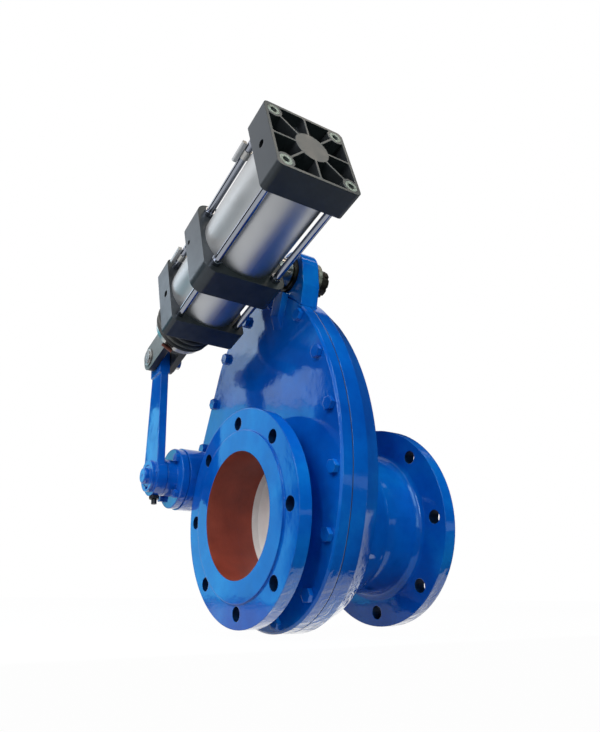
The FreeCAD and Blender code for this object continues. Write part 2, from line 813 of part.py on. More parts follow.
def make_rear_housing():
    body = new_body("rear_housing", AT_BORE_FRONT)
    sketch = new_sketch(body, "XY_Plane", "housing_outline", -taper_start)
    add_case_outline(sketch)
    pad(body, sketch, "housing_rim", taper_start - housing_front)
    loft_outline(body, "housing_back_taper", taper_start, 0.0, housing_back, d.housing_taper_inset)
    neck_root = d.seat_outer_radius + d.rear_neck_root_margin
    turn(body, "outlet_neck", [
        (d.bore_radius, -rear_seat_back),
        (neck_root, -rear_seat_back),
        (neck_root, -housing_back, d.neck_fillet / 3),
        (d.rear_neck_radius, -housing_back - d.rear_neck_taper, d.neck_fillet * 2),
        (d.rear_neck_radius, -outlet_back, d.neck_fillet),
        (d.flange_radius, -outlet_back),
        (d.flange_radius, -outlet_face + d.raised_step),
        (d.raised_radius, -outlet_face + d.raised_step),
        (d.raised_radius, -outlet_face),
        (d.bore_radius, -outlet_face),
    ])
    sketch = new_sketch(body, "XY_Plane", "rear_boss_outline", -rear_boss_end)
    add_circle(sketch, d.shaft_x, d.shaft_z, d.rear_boss_radius)
    pad(body, sketch, "rear_boss", d.rear_boss_length)
    sketch = new_sketch(body, "XY_Plane", "cavity_outline", -housing_front)
    add_case_outline(sketch, d.case_rim)
    pocket(body, sketch, "cavity", cavity_back - housing_front)
    sketch = new_sketch(body, "XY_Plane", "rear_seat_recess_outline", -cavity_back)
    add_circle(sketch, 0, 0, d.seat_outer_radius + d.fit_gap)
    pocket(body, sketch, "rear_seat_recess", rear_seat_back - cavity_back)
    sketch = new_sketch(body, "XY_Plane", "outlet_bore_outline", -cavity_back)
    add_circle(sketch, 0, 0, d.bore_radius)
    pocket(body, sketch, "outlet_bore", outlet_face - cavity_back)
    sketch = new_sketch(body, "XY_Plane", "rear_bush_bore_outline", -cavity_back + d.cut_overrun)
    add_circle(sketch, d.shaft_x, d.shaft_z, d.shaft_radius + d.bush_wall)
    pocket(body, sketch, "rear_bush_bore", d.rear_boss_length + d.cut_overrun * 2)
    sketch = new_sketch(body, "XY_Plane", "housing_bolt_circles", -housing_front)
    add_bolt_circles(sketch, d.case_bolt_radius)
    pocket(body, sketch, "housing_bolt_holes", d.case_bolt_grip)
    sketch = new_sketch(body, "XY_Plane", "rear_screw_circles", -rear_boss_end)
    for index in range(int(d.rear_cap_screw_count.number)):
        add_circle(sketch, *shaft_polar(d.rear_cap_screw_circle_radius, index, d.rear_cap_screw_count),
                   d.rear_cap_screw_radius)
    pocket(body, sketch, "rear_screw_holes", d.rear_cap_screw_grip + d.rear_cap_hole_spare, reverse=True)
    flange_holes(body, "outlet_bolt_holes", -outlet_back, inlet_back)
    return keep(body)


def make_case_gasket():
    body = new_body("case_gasket", AT_BORE_FRONT)
    sketch = new_sketch(body, "XY_Plane", "gasket_outline", -housing_front)
    add_case_outline(sketch, d.gasket_inset)
    add_case_outline(sketch, d.case_rim)
    add_bolt_circles(sketch, d.case_bolt_radius + d.fit_gap)
    pad(body, sketch, "gasket_sheet", d.gasket_thick)
    return keep(body)


def make_case_bolts():
    bolts = []
    for index, point in enumerate(BOLT_PLACES):
        name = "case_bolt_%d" % (index + 1)
        head = solid_prism(name + "_head", d.case_bolt_head_flats, d.case_bolt_head,
                           place(point.x, d.cover_front - d.case_bolt_head, point.y, THROUGH))
        shank = solid_cylinder(name + "_shank", d.case_bolt_radius, d.cover_thick + d.case_bolt_grip,
                               place(point.x, d.cover_front, point.y, THROUGH))
        bolts.append(join(name, [head, shank]))
    return keep(group("case_bolts", bolts))


make_front_cover()
make_inlet_flange()
make_rear_housing()
make_case_gasket()
make_case_bolts()

# Ceramic seats, their seals and the swinging discs.
def make_seat(name, face, root, inwards):
    """A seat ring with a seal let into the side that lies in the casing."""
    groove = root + d.seal_section * inwards
    seal_inner = (d.bore_radius + d.seat_outer_radius) / 2
    seal_outer = seal_inner + d.seal_section
    keep(lathe(name + "_seat_ring", AT_BORE_THROUGH, [
        (d.bore_radius, root), (seal_inner, root), (seal_inner, groove), (seal_outer, groove),
        (seal_outer, root), (d.seat_outer_radius, root), (d.seat_outer_radius, face), (d.bore_radius, face)]))
    keep(lathe(name + "_seat_seal", AT_BORE_THROUGH, [
        (seal_inner, root), (seal_outer, root), (seal_outer, groove), (seal_inner, groove)]))


make_seat("front", seat_face, d.seat_depth, 1)
make_seat("rear", rear_seat_front, rear_seat_back, -1)
keep(rod("front_ceramic_disc", AT_BORE_THROUGH, disc_radius, disc_front, carrier_front))
keep(rod("rear_ceramic_disc", AT_BORE_THROUGH, disc_radius, carrier_back, rear_disc_back))


def make_swing_arm():
    """The plate on the shaft that carries both discs across the bore."""
    body = new_body("swing_arm", AT_BORE_FRONT)
    sketch = new_sketch(body, "XY_Plane", "carrier_outline", -carrier_back)
    add_circle(sketch, 0, 0, carrier_radius)
    add_circle(sketch, 0, 0, d.carrier_inner_radius)
    pad(body, sketch, "carrier_ring", d.carrier_thick)
    sketch = new_sketch(body, "XY_Plane", "hub_outline", -carrier_back - d.arm_hub_extra)
    add_circle(sketch, d.shaft_x, d.shaft_z, d.arm_hub_radius)
    pad(body, sketch, "arm_hub", d.carrier_thick + d.arm_hub_extra * 2)
    angle = math.degrees(math.atan2(-plain(d.shaft_z), -plain(d.shaft_x)))
    along_x, along_z = math.cos(math.radians(angle)), math.sin(math.radians(angle))
    half = d.arm_width / 2
    inner = reach - (carrier_radius + d.carrier_inner_radius) / 2
    sketch = new_sketch(body, "XY_Plane", "arm_outline", -carrier_back)
    corners = []
    for run, side in ((Size(0, "0"), -1), (inner, -1), (inner, 1), (Size(0, "0"), 1)):
        corners.append((d.shaft_x + run * along_x - half * (side * along_z),
                        d.shaft_z + run * along_z + half * (side * along_x)))
    add_outline(sketch, corners)
    pad(body, sketch, "arm_web", d.carrier_thick)
    sketch = new_sketch(body, "XY_Plane", "arm_bore_outline", -carrier_front + d.arm_hub_extra)
    add_circle(sketch, d.shaft_x, d.shaft_z, d.shaft_radius)
    pocket(body, sketch, "arm_bore", d.carrier_thick + d.arm_hub_extra * 2)
    return keep(body)


make_swing_arm()
keep(ring("disc_spring", AT_BORE_THROUGH, d.disc_pin_radius, d.disc_spring_radius,
          carrier_front, carrier_back))

# Shaft, bushes and packing.
bush_radius = d.shaft_radius + d.bush_wall
running = d.shaft_radius + d.shaft_clearance
box_bottom = d.box_bore_depth - d.box_front
shaft_tip = d.lever_ring_face + d.shaft_tip_length
shaft_tail = d.shaft_end_gap - d.lever_plane - rear_boss_end
key_floor = -d.shaft_radius + d.key_height / 2
key_top = -d.shaft_radius - d.key_height / 2
key_front = d.lever_ring_face - d.key_end_gap
key_back = key_front - d.key_length


def make_shaft():
    """The shaft, seen in the lever's frame; its keyway lies opposite the lever arm."""
    body = new_body("shaft", AT_LEVER)
    turn(body, "shaft_turned", [
        (0, shaft_tip - d.centre_hole_depth), (d.centre_hole_radius, shaft_tip),
        (d.shaft_tip_radius - d.shaft_chamfer, shaft_tip), (d.shaft_tip_radius, shaft_tip - d.shaft_chamfer),
        (d.shaft_tip_radius, d.lever_ring_face), (d.shaft_radius - d.shaft_chamfer, d.lever_ring_face),
        (d.shaft_radius, d.lever_ring_face - d.shaft_chamfer), (d.shaft_radius, shaft_tail), (0, shaft_tail)])
    sketch = new_sketch(body, "YZ_Plane", "keyway_sketch", -d.shaft_radius - d.cut_overrun)
    half = d.key_width / 2
    add_outline(sketch, [(-half, key_back), (half, key_back), (half, key_front), (-half, key_front)])
    pocket(body, sketch, "keyway", d.key_height / 2 + d.cut_overrun, reverse=True)
    keep(body)
    body = new_body("shaft_key", AT_LEVER)
    sketch = new_sketch(body, "XY_Plane", "key_sketch", key_back)
    add_outline(sketch, [(key_top, -half), (key_floor, -half), (key_floor, half), (key_top, half)])
    pad(body, sketch, "key_bar", d.key_length)
    keep(body)


make_shaft()
keep(ring("front_shaft_bush", AT_SHAFT_THROUGH, running, bush_radius, box_bottom, box_bottom + d.bush_length))
keep(ring("rear_shaft_bush", AT_SHAFT_THROUGH, running, bush_radius,
          rear_boss_end - d.bush_length, rear_boss_end))

packing = []
for index in range(int(d.packing_ring_count.number)):
    start = box_bottom - d.packing_ring_thick * (index + 1)
    packing.append(ring("packing_ring_%d" % (index + 1), AT_SHAFT_THROUGH, running,
                        d.box_bore_radius - d.fit_gap, start, start + d.packing_ring_thick))
keep(group("packing_rings", packing))
packing_top = box_bottom - d.packing_ring_thick * d.packing_ring_count
gland_back = -d.box_front - d.gland_lift
gland_front = gland_back - d.gland_thick
gland_nose = d.lever_hub_back + d.gland_gap - d.lever_plane


def make_gland():
    body = new_body("gland_follower", AT_SHAFT_THROUGH)
    turn(body, "gland_turned", [
        (d.shaft_radius + d.loose_gap, gland_nose),
        (d.gland_boss_radius, gland_nose, d.edge_round),
        (d.gland_boss_radius, gland_front),
        (d.gland_radius, gland_front, d.edge_round),
        (d.gland_radius, gland_back),
        (d.box_bore_radius - d.loose_gap, gland_back),
        (d.box_bore_radius - d.loose_gap, packing_top),
        (d.shaft_radius + d.loose_gap, packing_top),
    ])
    sketch = new_sketch(body, "XY_Plane", "gland_stud_sketch", gland_front)
    add_circle(sketch, *polar(d.gland_stud_circle_radius, QUARTER_START), d.gland_stud_radius + d.loose_gap)
    hole = pocket(body, sketch, "gland_stud_hole", d.gland_thick, reverse=True)
    repeat(body, hole, "gland_stud_holes", d.gland_stud_count)
    return keep(body)


make_gland()


def make_gland_studs():
    studs, nuts = [], []
    for index in range(int(d.gland_stud_count.number)):
        x, z = shaft_polar(d.gland_stud_circle_radius, index, d.gland_stud_count)
        end = gland_front - d.gland_nut_thick
        studs.append(solid_cylinder("gland_stud_%d" % (index + 1), d.gland_stud_radius,
                                    d.gland_stud_grip - d.box_front - end, place(x, end, z, THROUGH)))
        nuts.append(hex_nut("gland_nut_%d" % (index + 1), d.gland_nut_flats, d.gland_stud_radius,
                            d.gland_nut_thick, place(x, end, z, THROUGH)))
    keep(group("gland_studs", studs))
    keep(group("gland_nuts", nuts))


make_gland_studs()


def make_rear_cap():
    body = new_body("rear_bearing_cap", AT_SHAFT_THROUGH)
    end = rear_boss_end + d.rear_cap_thick
    turn(body, "rear_cap_turned", [
        (0, rear_boss_end),
        (d.rear_boss_radius, rear_boss_end),
        (d.rear_boss_radius, end, d.edge_round),
        (0, end),
    ])
    sketch = new_sketch(body, "XY_Plane", "rear_cap_screw_sketch", end)
    add_circle(sketch, *polar(d.rear_cap_screw_circle_radius, QUARTER_START), d.rear_cap_screw_radius)
    hole = pocket(body, sketch, "rear_cap_screw_hole", d.rear_cap_thick)
    repeat(body, hole, "rear_cap_screw_holes", d.rear_cap_screw_count)
    keep(body)
    screws = []
    for index in range(int(d.rear_cap_screw_count.number)):
        x, z = shaft_polar(d.rear_cap_screw_circle_radius, index, d.rear_cap_screw_count)
        name = "rear_cap_screw_%d" % (index + 1)
        head = solid_cylinder(name + "_head", d.rear_cap_head_radius, d.rear_cap_screw_radius * 2,
                              place(x, end, z, THROUGH))
        shank = solid_cylinder(name + "_shank", d.rear_cap_screw_radius,
                               d.rear_cap_thick + d.rear_cap_screw_grip,
                               place(x, rear_boss_end - d.rear_cap_screw_grip, z, THROUGH))
        screws.append(join(name, [head, shank]))
    keep(group("rear_cap_screws", screws))


make_rear_cap()


# Lever, seen along the shaft with local x towards its tip and local z towards the viewer.

def make_lever():
    body = new_body("lever", AT_LEVER)
    half, root, tip = d.lever_thick / 2, d.lever_root_width / 2, d.lever_tip_width / 2
    hub_length = d.lever_ring_face + d.lever_hub_back
    neck = d.lever_length - d.lever_eye_length
    sketch = new_sketch(body, "XY_Plane", "hub_sketch", -d.lever_hub_back)
    add_circle(sketch, 0, 0, d.lever_hub_radius)
    pad(body, sketch, "lever_hub", d.lever_hub_face + d.lever_hub_back)
    sketch = new_sketch(body, "XY_Plane", "hub_ring_sketch", -d.lever_hub_back)
    add_circle(sketch, 0, 0, d.lever_ring_radius)
    pad(body, sketch, "lever_hub_ring", hub_length)
    # the arm leans back from the hub's front to the middle of the fork
    low, high = d.lever_root_shift - half, d.lever_root_shift + half
    start = new_sketch(body, "YZ_Plane", "arm_root_sketch")
    add_outline(start, [(-root, low), (root, low), (root, high), (-root, high)])
    finish = new_sketch(body, "YZ_Plane", "arm_tip_sketch", neck)
    add_outline(finish, [(-tip, -half), (tip, -half), (tip, half), (-tip, half)])
    loft(body, "lever_arm", start, finish)
    sketch = new_sketch(body, "XY_Plane", "eye_sketch", -d.lever_eye_thick / 2)
    add_outline(sketch, [(neck, -tip), (d.lever_length + tip, -tip, tip * d.round_share),
                         (d.lever_length + tip, tip, tip * d.round_share), (neck, tip)])
    pad(body, sketch, "lever_eye", d.lever_eye_thick)
    sketch = new_sketch(body, "XY_Plane", "lever_bore_sketch", d.lever_ring_face)
    add_circle(sketch, 0, 0, d.shaft_radius)
    pocket(body, sketch, "lever_bore", hub_length)
    sketch = new_sketch(body, "XY_Plane", "hub_keyway_sketch", d.lever_ring_face)
    key_half = d.key_width / 2
    add_outline(sketch, [(key_top, -key_half), (-d.shaft_radius / 2, -key_half),
                         (-d.shaft_radius / 2, key_half), (key_top, key_half)])
    pocket(body, sketch, "hub_keyway", hub_length)
    sketch = new_sketch(body, "YZ_Plane", "set_screw_hole_sketch", -d.lever_hub_radius)
    add_circle(sketch, 0, d.set_screw_height, d.set_screw_radius)
    pocket(body, sketch, "set_screw_hole", d.lever_hub_radius - d.shaft_radius, reverse=True)
    sketch = new_sketch(body, "XY_Plane", "eye_bore_sketch", d.lever_eye_thick / 2)
    add_circle(sketch, d.lever_length, 0, d.clevis_pin_radius)
    pocket(body, sketch, "eye_bore", d.lever_eye_thick)
    return keep(body)


make_lever()
UPRIGHT = FreeCAD.Rotation()
DOWN_LEVER = FreeCAD.Rotation(FreeCAD.Vector(0, 1, 0), -90)
keep(rod("lever_set_screw", AT_LEVER * place(key_top, 0, d.set_screw_height, DOWN_LEVER),
         d.set_screw_radius, 0, d.set_screw_length))
locknut_spot = AT_LEVER * place(-d.lever_hub_radius, 0, d.set_screw_height, DOWN_LEVER)
keep(hex_nut("lever_locknut", d.set_nut_flats, d.set_screw_radius, d.set_nut_thick, locknut_spot))

# Cylinder parts, all in the cylinder frame with the trunnion at its origin.
barrel_inner = d.barrel_radius - d.barrel_wall
rear_inner = d.rear_cap_face - d.rear_cap_depth
front_inner = -d.front_cap_face + d.front_cap_depth


def square(sketch, side, corner):
    half = side / 2
    add_outline(sketch, [(-half, -half, corner), (half, -half, corner),
                         (half, half, corner), (-half, half, corner)])


def tie_holes(body, name, height, length, radius, reverse=False):
    sketch = new_sketch(body, "XY_Plane", name + "_sketch", height)
    for x_side in (-1, 1):
        for y_side in (-1, 1):
            add_circle(sketch, d.tie_rod_offset * x_side, d.tie_rod_offset * y_side, radius)
    return pocket(body, sketch, name, length, reverse)


def make_cap(name, start, depth):
    """A square end cap of the cylinder."""
    body = new_body(name, AT_CYLINDER)
    sketch = new_sketch(body, "XY_Plane", name + "_outline", start)
    square(sketch, d.cap_side, d.cap_corner)
    pad(body, sketch, name + "_block", depth)
    return body


def air_port(body, name, height):
    """A threaded air port in the near side and a hole for the cushion screw in the upper side."""
    side = d.cap_side / 2
    sketch = new_sketch(body, "XZ_Plane", name + "_sketch", side)
    add_circle(sketch, 0, height, d.port_radius)
    pocket(body, sketch, name, d.port_depth)
    sketch = new_sketch(body, "YZ_Plane", name + "_cushion_sketch", -side)
    add_circle(sketch, 0, height, d.cushion_thread_radius)
    pocket(body, sketch, name + "_cushion", d.cushion_thread_length, reverse=True)


def make_rear_cylinder_cap():
    """The rear cap's outer side is open, with ribs, a centre boss and a boss round each nut."""
    body = make_cap("rear_cylinder_cap", rear_inner, d.rear_cap_depth)
    wall = d.cap_side / 2 - d.cap_wall
    rib = d.cap_rib / 2
    slant = rib * math.sqrt(2)
    sketch = new_sketch(body, "XY_Plane", "cap_window_sketch", d.rear_cap_face)
    add_outline(sketch, [(rib + slant, rib), (wall, rib, d.cap_corner_fillet), (wall, wall - slant)])
    add_outline(sketch, [(rib, rib + slant), (wall - slant, wall), (rib, wall, d.cap_corner_fillet)])
    window = pocket(body, sketch, "cap_window", d.cap_window_depth)
    repeat(body, window, "cap_windows", 4)
    sketch = new_sketch(body, "XY_Plane", "cap_boss_sketch", d.rear_cap_face - d.cap_window_depth)
    add_circle(sketch, 0, 0, d.cap_boss_radius)
    for x_side in (-1, 1):
        for y_side in (-1, 1):
            add_circle(sketch, d.tie_rod_offset * x_side, d.tie_rod_offset * y_side, d.cap_nut_boss_radius)
    pad(body, sketch, "cap_bosses", d.cap_window_depth)
    sketch = new_sketch(body, "XZ_Plane", "rear_port_boss_sketch", wall)
    add_circle(sketch, 0, rear_port_height, d.rear_port_boss_radius)
    pad(body, sketch, "rear_port_boss", d.rear_port_boss_length, reverse=True)
    sketch = new_sketch(body, "YZ_Plane", "cushion_boss_sketch", -wall)
    add_circle(sketch, 0, rear_port_height, d.cushion_boss_radius)
    pad(body, sketch, "cushion_boss", wall)
    tie_holes(body, "rear_tie_holes", d.rear_cap_face, d.rear_cap_depth, d.tie_rod_radius + d.hole_clearance)
    tie_holes(body, "rear_nut_holes", d.rear_cap_face, d.tie_nut_thick, d.tie_nut_radius)
    air_port(body, "rear_port", rear_port_height)
    return keep(body)


def make_front_cylinder_cap():
    body = make_cap("front_cylinder_cap", -d.front_cap_face, d.front_cap_depth)
    tie_holes(body, "front_tie_holes", front_inner, d.front_cap_depth, d.tie_rod_radius + d.hole_clearance)
    tie_holes(body, "front_nut_holes", -d.front_cap_face + d.tie_nut_thick, d.tie_nut_thick, d.tie_nut_radius)
    sketch = new_sketch(body, "XY_Plane", "rod_bore_sketch", front_inner)
    add_circle(sketch, 0, 0, rod_bush_outer)
    pocket(body, sketch, "rod_bore", d.front_cap_depth)
    air_port(body, "front_port", front_port_height)
    return keep(body)


def make_cushion_screws():
    """A socket screw in the upper side of each cap."""
    screws = []
    for end, height in (("rear", rear_port_height), ("front", front_port_height)):
        name = "cushion_screw_" + end
        spot = AT_CYLINDER * place(-d.cap_side / 2, 0, height, DOWN_LEVER)
        head = solid_cylinder(name + "_head", d.cushion_head_radius, d.cushion_head, spot)
        thread = solid_cylinder(name + "_thread", d.cushion_thread_radius, d.cushion_thread_length,
                                spot * place(0, 0, -d.cushion_thread_length, UPRIGHT))
        socket = solid_prism(name + "_socket", d.cushion_socket_flats, d.cushion_head, spot)
        screws.append(cut(name, join(name + "_blank", [head, thread]), socket))
    keep(group("cushion_screws", screws))


def make_trunnion_block():
    """The middle block clamps the barrel and carries the trunnion pin on its far side."""
    body = new_body("trunnion_block", AT_CYLINDER)
    sketch = new_sketch(body, "XY_Plane", "block_outline", -d.block_thick / 2)
    square(sketch, d.block_side, d.block_corner)
    add_circle(sketch, 0, 0, d.barrel_radius)
    pad(body, sketch, "block_ring", d.block_thick)
    tie_holes(body, "block_tie_holes", d.block_thick / 2, d.block_thick, d.tie_rod_radius)
    sketch = new_sketch(body, "XZ_Plane", "grub_hole_sketch", d.block_side / 2)
    add_circle(sketch, d.grub_x, d.grub_z, d.grub_radius)
    pocket(body, sketch, "grub_hole", d.grub_depth)
    keep(body)
    inwards = FreeCAD.Rotation(FreeCAD.Vector(1, 0, 0), -90)
    spot = AT_CYLINDER * place(d.grub_x, -d.block_side / 2 + d.grub_sunk, d.grub_z, inwards)
    blank = solid_cylinder("grub_screw_blank", d.grub_radius, d.grub_depth - d.grub_sunk, spot)
    socket = solid_prism("grub_screw_socket", d.grub_radius, d.grub_radius, spot)
    screw = cut("block_grub_screw", blank, socket)
    screw.Label = "block_grub_screw"
    keep(screw)


rear_port_height = d.rear_cap_face - d.rear_port_inset
front_port_height = d.front_port_inset - d.front_cap_face
rod_bush_outer = d.rod_radius + d.rod_bush_wall
running_rod = d.rod_radius + d.shaft_clearance
wiper_back = -d.front_cap_face + d.wiper_thick
make_rear_cylinder_cap()
make_front_cylinder_cap()
make_cushion_screws()
make_trunnion_block()
keep(ring("cylinder_barrel", AT_CYLINDER, barrel_inner, d.barrel_radius, front_inner, rear_inner))
keep(ring("rod_bush", AT_CYLINDER, running_rod, rod_bush_outer, wiper_back, front_inner))
keep(ring("rod_wiper_seal", AT_CYLINDER, running_rod, rod_bush_outer, -d.front_cap_face, wiper_back))

# Tie rods, the collars beside the middle block and the nuts let into the caps.
TURNED_OVER = FreeCAD.Rotation(FreeCAD.Vector(1, 0, 0), 180)


def make_tie_rods():
    rods, collars, nuts = [], [], []
    rod_start = -d.front_cap_face + d.tie_socket_depth
    rod_length = d.front_cap_face + d.rear_cap_face - d.tie_socket_depth * 2
    for x_side, y_side in ((-1, -1), (-1, 1), (1, -1), (1, 1)):
        number = len(rods) + 1
        x, y = d.tie_rod_offset * x_side, d.tie_rod_offset * y_side
        socket_floor = d.tie_nut_thick - d.tie_socket_depth
        rods.append(solid_cylinder("tie_rod_%d" % number, d.tie_rod_radius, rod_length,
                                   AT_CYLINDER * place(x, y, rod_start, UPRIGHT)))
        for end, start, turned in (("rear", d.rear_cap_face - d.tie_nut_thick, UPRIGHT),
                                   ("front", -d.front_cap_face + d.tie_nut_thick, TURNED_OVER)):
            name = "tie_nut_%s_%d" % (end, number)
            spot = AT_CYLINDER * place(x, y, start, turned)
            blank = solid_cylinder(name + "_blank", d.tie_nut_radius, d.tie_nut_thick, spot)
            hole = solid_cylinder(name + "_hole", d.tie_rod_radius, socket_floor, spot)
            socket = solid_prism(name + "_socket", d.tie_socket_flats, d.tie_nut_thick,
                                 spot * place(0, 0, socket_floor, UPRIGHT))
            nuts.append(cut(name, blank, join(name + "_cutter", [hole, socket])))
        for end, start in (("rear", d.block_thick / 2), ("front", -d.block_thick / 2 - d.collar_length)):
            name = "tie_collar_%s_%d" % (end, number)
            spot = AT_CYLINDER * place(x, y, start, UPRIGHT)
            blank = solid_cylinder(name + "_blank", d.collar_radius, d.collar_length, spot)
            hole = solid_cylinder(name + "_hole", d.tie_rod_radius, d.collar_length, spot)
            collars.append(cut(name, blank, hole))
    keep(group("tie_rods", rods))
    keep(group("tie_rod_collars", collars))
    keep(group("tie_rod_nuts", nuts))


make_tie_rods()

# Piston, its seals and the piston rod.
piston_back = rear_inner - d.piston_start
piston_front = piston_back - d.piston_thick
piston_outer = barrel_inner - d.shaft_clearance
groove_floor = piston_outer - d.piston_groove_depth
shoulder = -(pin_distance - d.fork_shank_end)
thread_start = shoulder + d.jam_nut_thick
piston_corners = [(d.rod_radius, piston_front), (piston_outer, piston_front)]
piston_seals = []
for index in range(2):
    low = piston_front + d.piston_groove_first + d.piston_groove_pitch * index
    high = low + d.piston_groove_width
    piston_corners += [(piston_outer, low), (groove_floor, low), (groove_floor, high), (piston_outer, high)]
    piston_seals.append(ring("piston_seal_%d" % (index + 1), AT_CYLINDER,
                             groove_floor, piston_outer, low, high))
piston_corners += [(piston_outer, piston_back), (d.rod_radius, piston_back)]
keep(lathe("piston", AT_CYLINDER, piston_corners))
keep(group("piston_seals", piston_seals))
keep(lathe("piston_rod", AT_CYLINDER, [
    (0, piston_back), (d.rod_radius, piston_back), (d.rod_radius, thread_start),
    (d.rod_thread_radius, thread_start), (d.rod_thread_radius, thread_start - d.rod_thread_length),
    (0, thread_start - d.rod_thread_length)]))


# Fork, pivot pin and their small parts, on the end of the rod.

def make_fork():
    body = new_body("rod_fork", AT_CYLINDER)
    half, slot = d.fork_side / 2, d.fork_slot / 2
    throat = -pin_distance + d.fork_slot_depth
    tip = -pin_distance - half
    turn(body, "fork_shank", [
        (0, shoulder), (d.fork_shank_radius, shoulder), (d.fork_shank_radius, throat), (0, throat)])
    sketch = new_sketch(body, "XZ_Plane", "fork_side_sketch", -half)
    add_outline(sketch, [
        (-half, throat + d.fork_web, d.fork_corner), (half, throat + d.fork_web, d.fork_corner),
        (half, tip, half * d.round_share), (-half, tip, half * d.round_share)])
    pad(body, sketch, "fork_block", d.fork_side)
    sketch = new_sketch(body, "YZ_Plane", "fork_slot_sketch", -half)
    end = tip - d.cut_overrun
    add_outline(sketch, [(-slot, throat), (slot, throat), (slot, end), (-slot, end)])
    pocket(body, sketch, "fork_slot", d.fork_side, reverse=True)
    sketch = new_sketch(body, "XZ_Plane", "fork_pin_sketch", -half)
    add_circle(sketch, 0, -pin_distance, d.clevis_pin_radius)
    pocket(body, sketch, "fork_pin_hole", d.fork_side, reverse=True)
    sketch = new_sketch(body, "XY_Plane", "fork_thread_sketch", shoulder)
    add_circle(sketch, 0, 0, d.rod_thread_radius)
    pocket(body, sketch, "fork_thread", d.rod_thread_length - d.jam_nut_thick)
    return keep(body)


make_fork()
keep(hex_nut("fork_jam_nut", d.jam_nut_flats, d.rod_thread_radius, d.jam_nut_thick,
             AT_CYLINDER * place(0, 0, shoulder, UPRIGHT)))

# The pivot pin lies across the fork; its own frame has local z to the back.
AT_PIN = AT_CYLINDER * place(0, 0, -pin_distance, THROUGH)
fork_half = d.fork_side / 2
slot_half = d.fork_slot / 2
pin_middle = slot_half - d.loose_gap
pin_near = -fork_half - d.pin_near_end
pin_far = fork_half + d.pin_far_end
snap_back = -fork_half - d.snap_ring_gap
snap_front = snap_back - d.snap_ring_thick
groove = d.clevis_pin_radius - d.snap_ring_bite
split_height = fork_half + d.split_pin_height
split_half = d.clevis_pin_radius + d.split_pin_spare / 2
# local z of the split pin runs across the pivot pin
AT_SPLIT = AT_PIN * place(0, split_half, split_height, FreeCAD.Rotation(FreeCAD.Vector(1, 0, 0), 90))
split_hole = solid_cylinder("split_pin_hole", d.split_pin_radius, split_half * 2, AT_SPLIT)
near_end = lathe("clevis_pin_near", AT_PIN, [
    (0, pin_near), (d.clevis_pin_radius, pin_near), (d.clevis_pin_radius, snap_front),
    (groove, snap_front), (groove, snap_back), (d.clevis_pin_radius, snap_back),
    (d.clevis_pin_radius, -slot_half), (0, -slot_half)])
far_end = cut("clevis_pin_far", rod("clevis_pin_far_bar", AT_PIN, d.clevis_pin_radius, slot_half, pin_far),
              split_hole)
keep(rod("clevis_pin_middle", AT_PIN, d.clevis_pin_radius, -pin_middle, pin_middle))
keep(group("clevis_pin_ends", [near_end, far_end]))
keep(ring("pin_snap_ring", AT_PIN, groove, d.snap_ring_radius, snap_front, snap_back))
keep(ring("pin_washer", AT_PIN, d.clevis_pin_radius, d.pin_washer_radius,
          fork_half, fork_half + d.pin_washer_thick))


def make_split_pin():
    """The split pin: a bar through the pin, a round eye at one end and two short tails."""
    bar = solid_cylinder("split_pin_bar", d.split_pin_radius, split_half * 2, AT_SPLIT)
    eye = doc.addObject("Part::Torus", "split_pin_eye")
    bind(eye, "Radius1", d.split_eye_radius)
    bind(eye, "Radius2", d.split_tail_radius)
    eye.Placement = AT_PIN * place(0, -split_half - d.split_eye_radius / 2, split_height, UPRIGHT)
    tails = []
    for side in (-1, 1):
        lean = FreeCAD.Rotation(FreeCAD.Vector(0, 0, 1), d.split_tail_angle.number * side)
        lean = lean * FreeCAD.Rotation(FreeCAD.Vector(1, 0, 0), -90)
        tails.append(solid_cylinder("split_pin_tail_%d" % (side + 2), d.split_tail_radius, d.split_pin_tail,
                                    AT_PIN * place(0, split_half - d.split_tail_radius * 2,
                                                   split_height, lean)))
    piece = join("split_pin", [bar, eye] + tails)
    piece.Label = "split_pin"
    return keep(piece)


make_split_pin()

# Bellows between the front cap and a collar on the fork's shank.
bellows_start = -d.front_cap_face
collar_start = shoulder - d.collar_step
bellows_end = collar_start + d.loose_gap
collar_end = collar_start - d.collar_plate_thick
cuff_inner = d.collar_plate_radius + d.loose_gap
cuff_outer = cuff_inner + d.bellows_wall
clamp_inner = cuff_outer + d.loose_gap


def make_bellows():
    """Thin folds from the cap to the clamped cuff, drawn as one zigzag wall."""
    count = int(d.bellows_fold_count.number)
    pitch = (bellows_start - bellows_end) / count
    valley = d.bellows_radius - d.bellows_fold_depth
    outer = [(valley, bellows_start)]
    for index in range(count):
        outer.append((d.bellows_radius, bellows_start - pitch * (index + 0.5), d.edge_round))
        if index < count - 1:
            outer.append((valley, bellows_start - pitch * (index + 1)))
    outer += [(cuff_outer, bellows_end), (cuff_outer, collar_end)]
    inner = [(cuff_inner, collar_end), (cuff_inner, bellows_end + d.bellows_wall)]
    for index in reversed(range(count)):
        inner.append((d.bellows_radius - d.bellows_wall, bellows_start - pitch * (index + 0.5)))
        if index > 0:
            inner.append((valley - d.bellows_wall, bellows_start - pitch * index))
    inner.append((valley - d.bellows_wall, bellows_start))
    return keep(lathe("bellows", AT_CYLINDER, outer + inner))


make_bellows()
keep(ring("bellows_collar", AT_CYLINDER, d.fork_shank_radius, d.collar_plate_radius,
          collar_end, collar_start))
clamp_middle = (collar_start + collar_end) / 2
keep(ring("hose_clamp", AT_CYLINDER, clamp_inner, clamp_inner + d.clamp_thick,
          clamp_middle - d.clamp_width / 2, clamp_middle + d.clamp_width / 2))


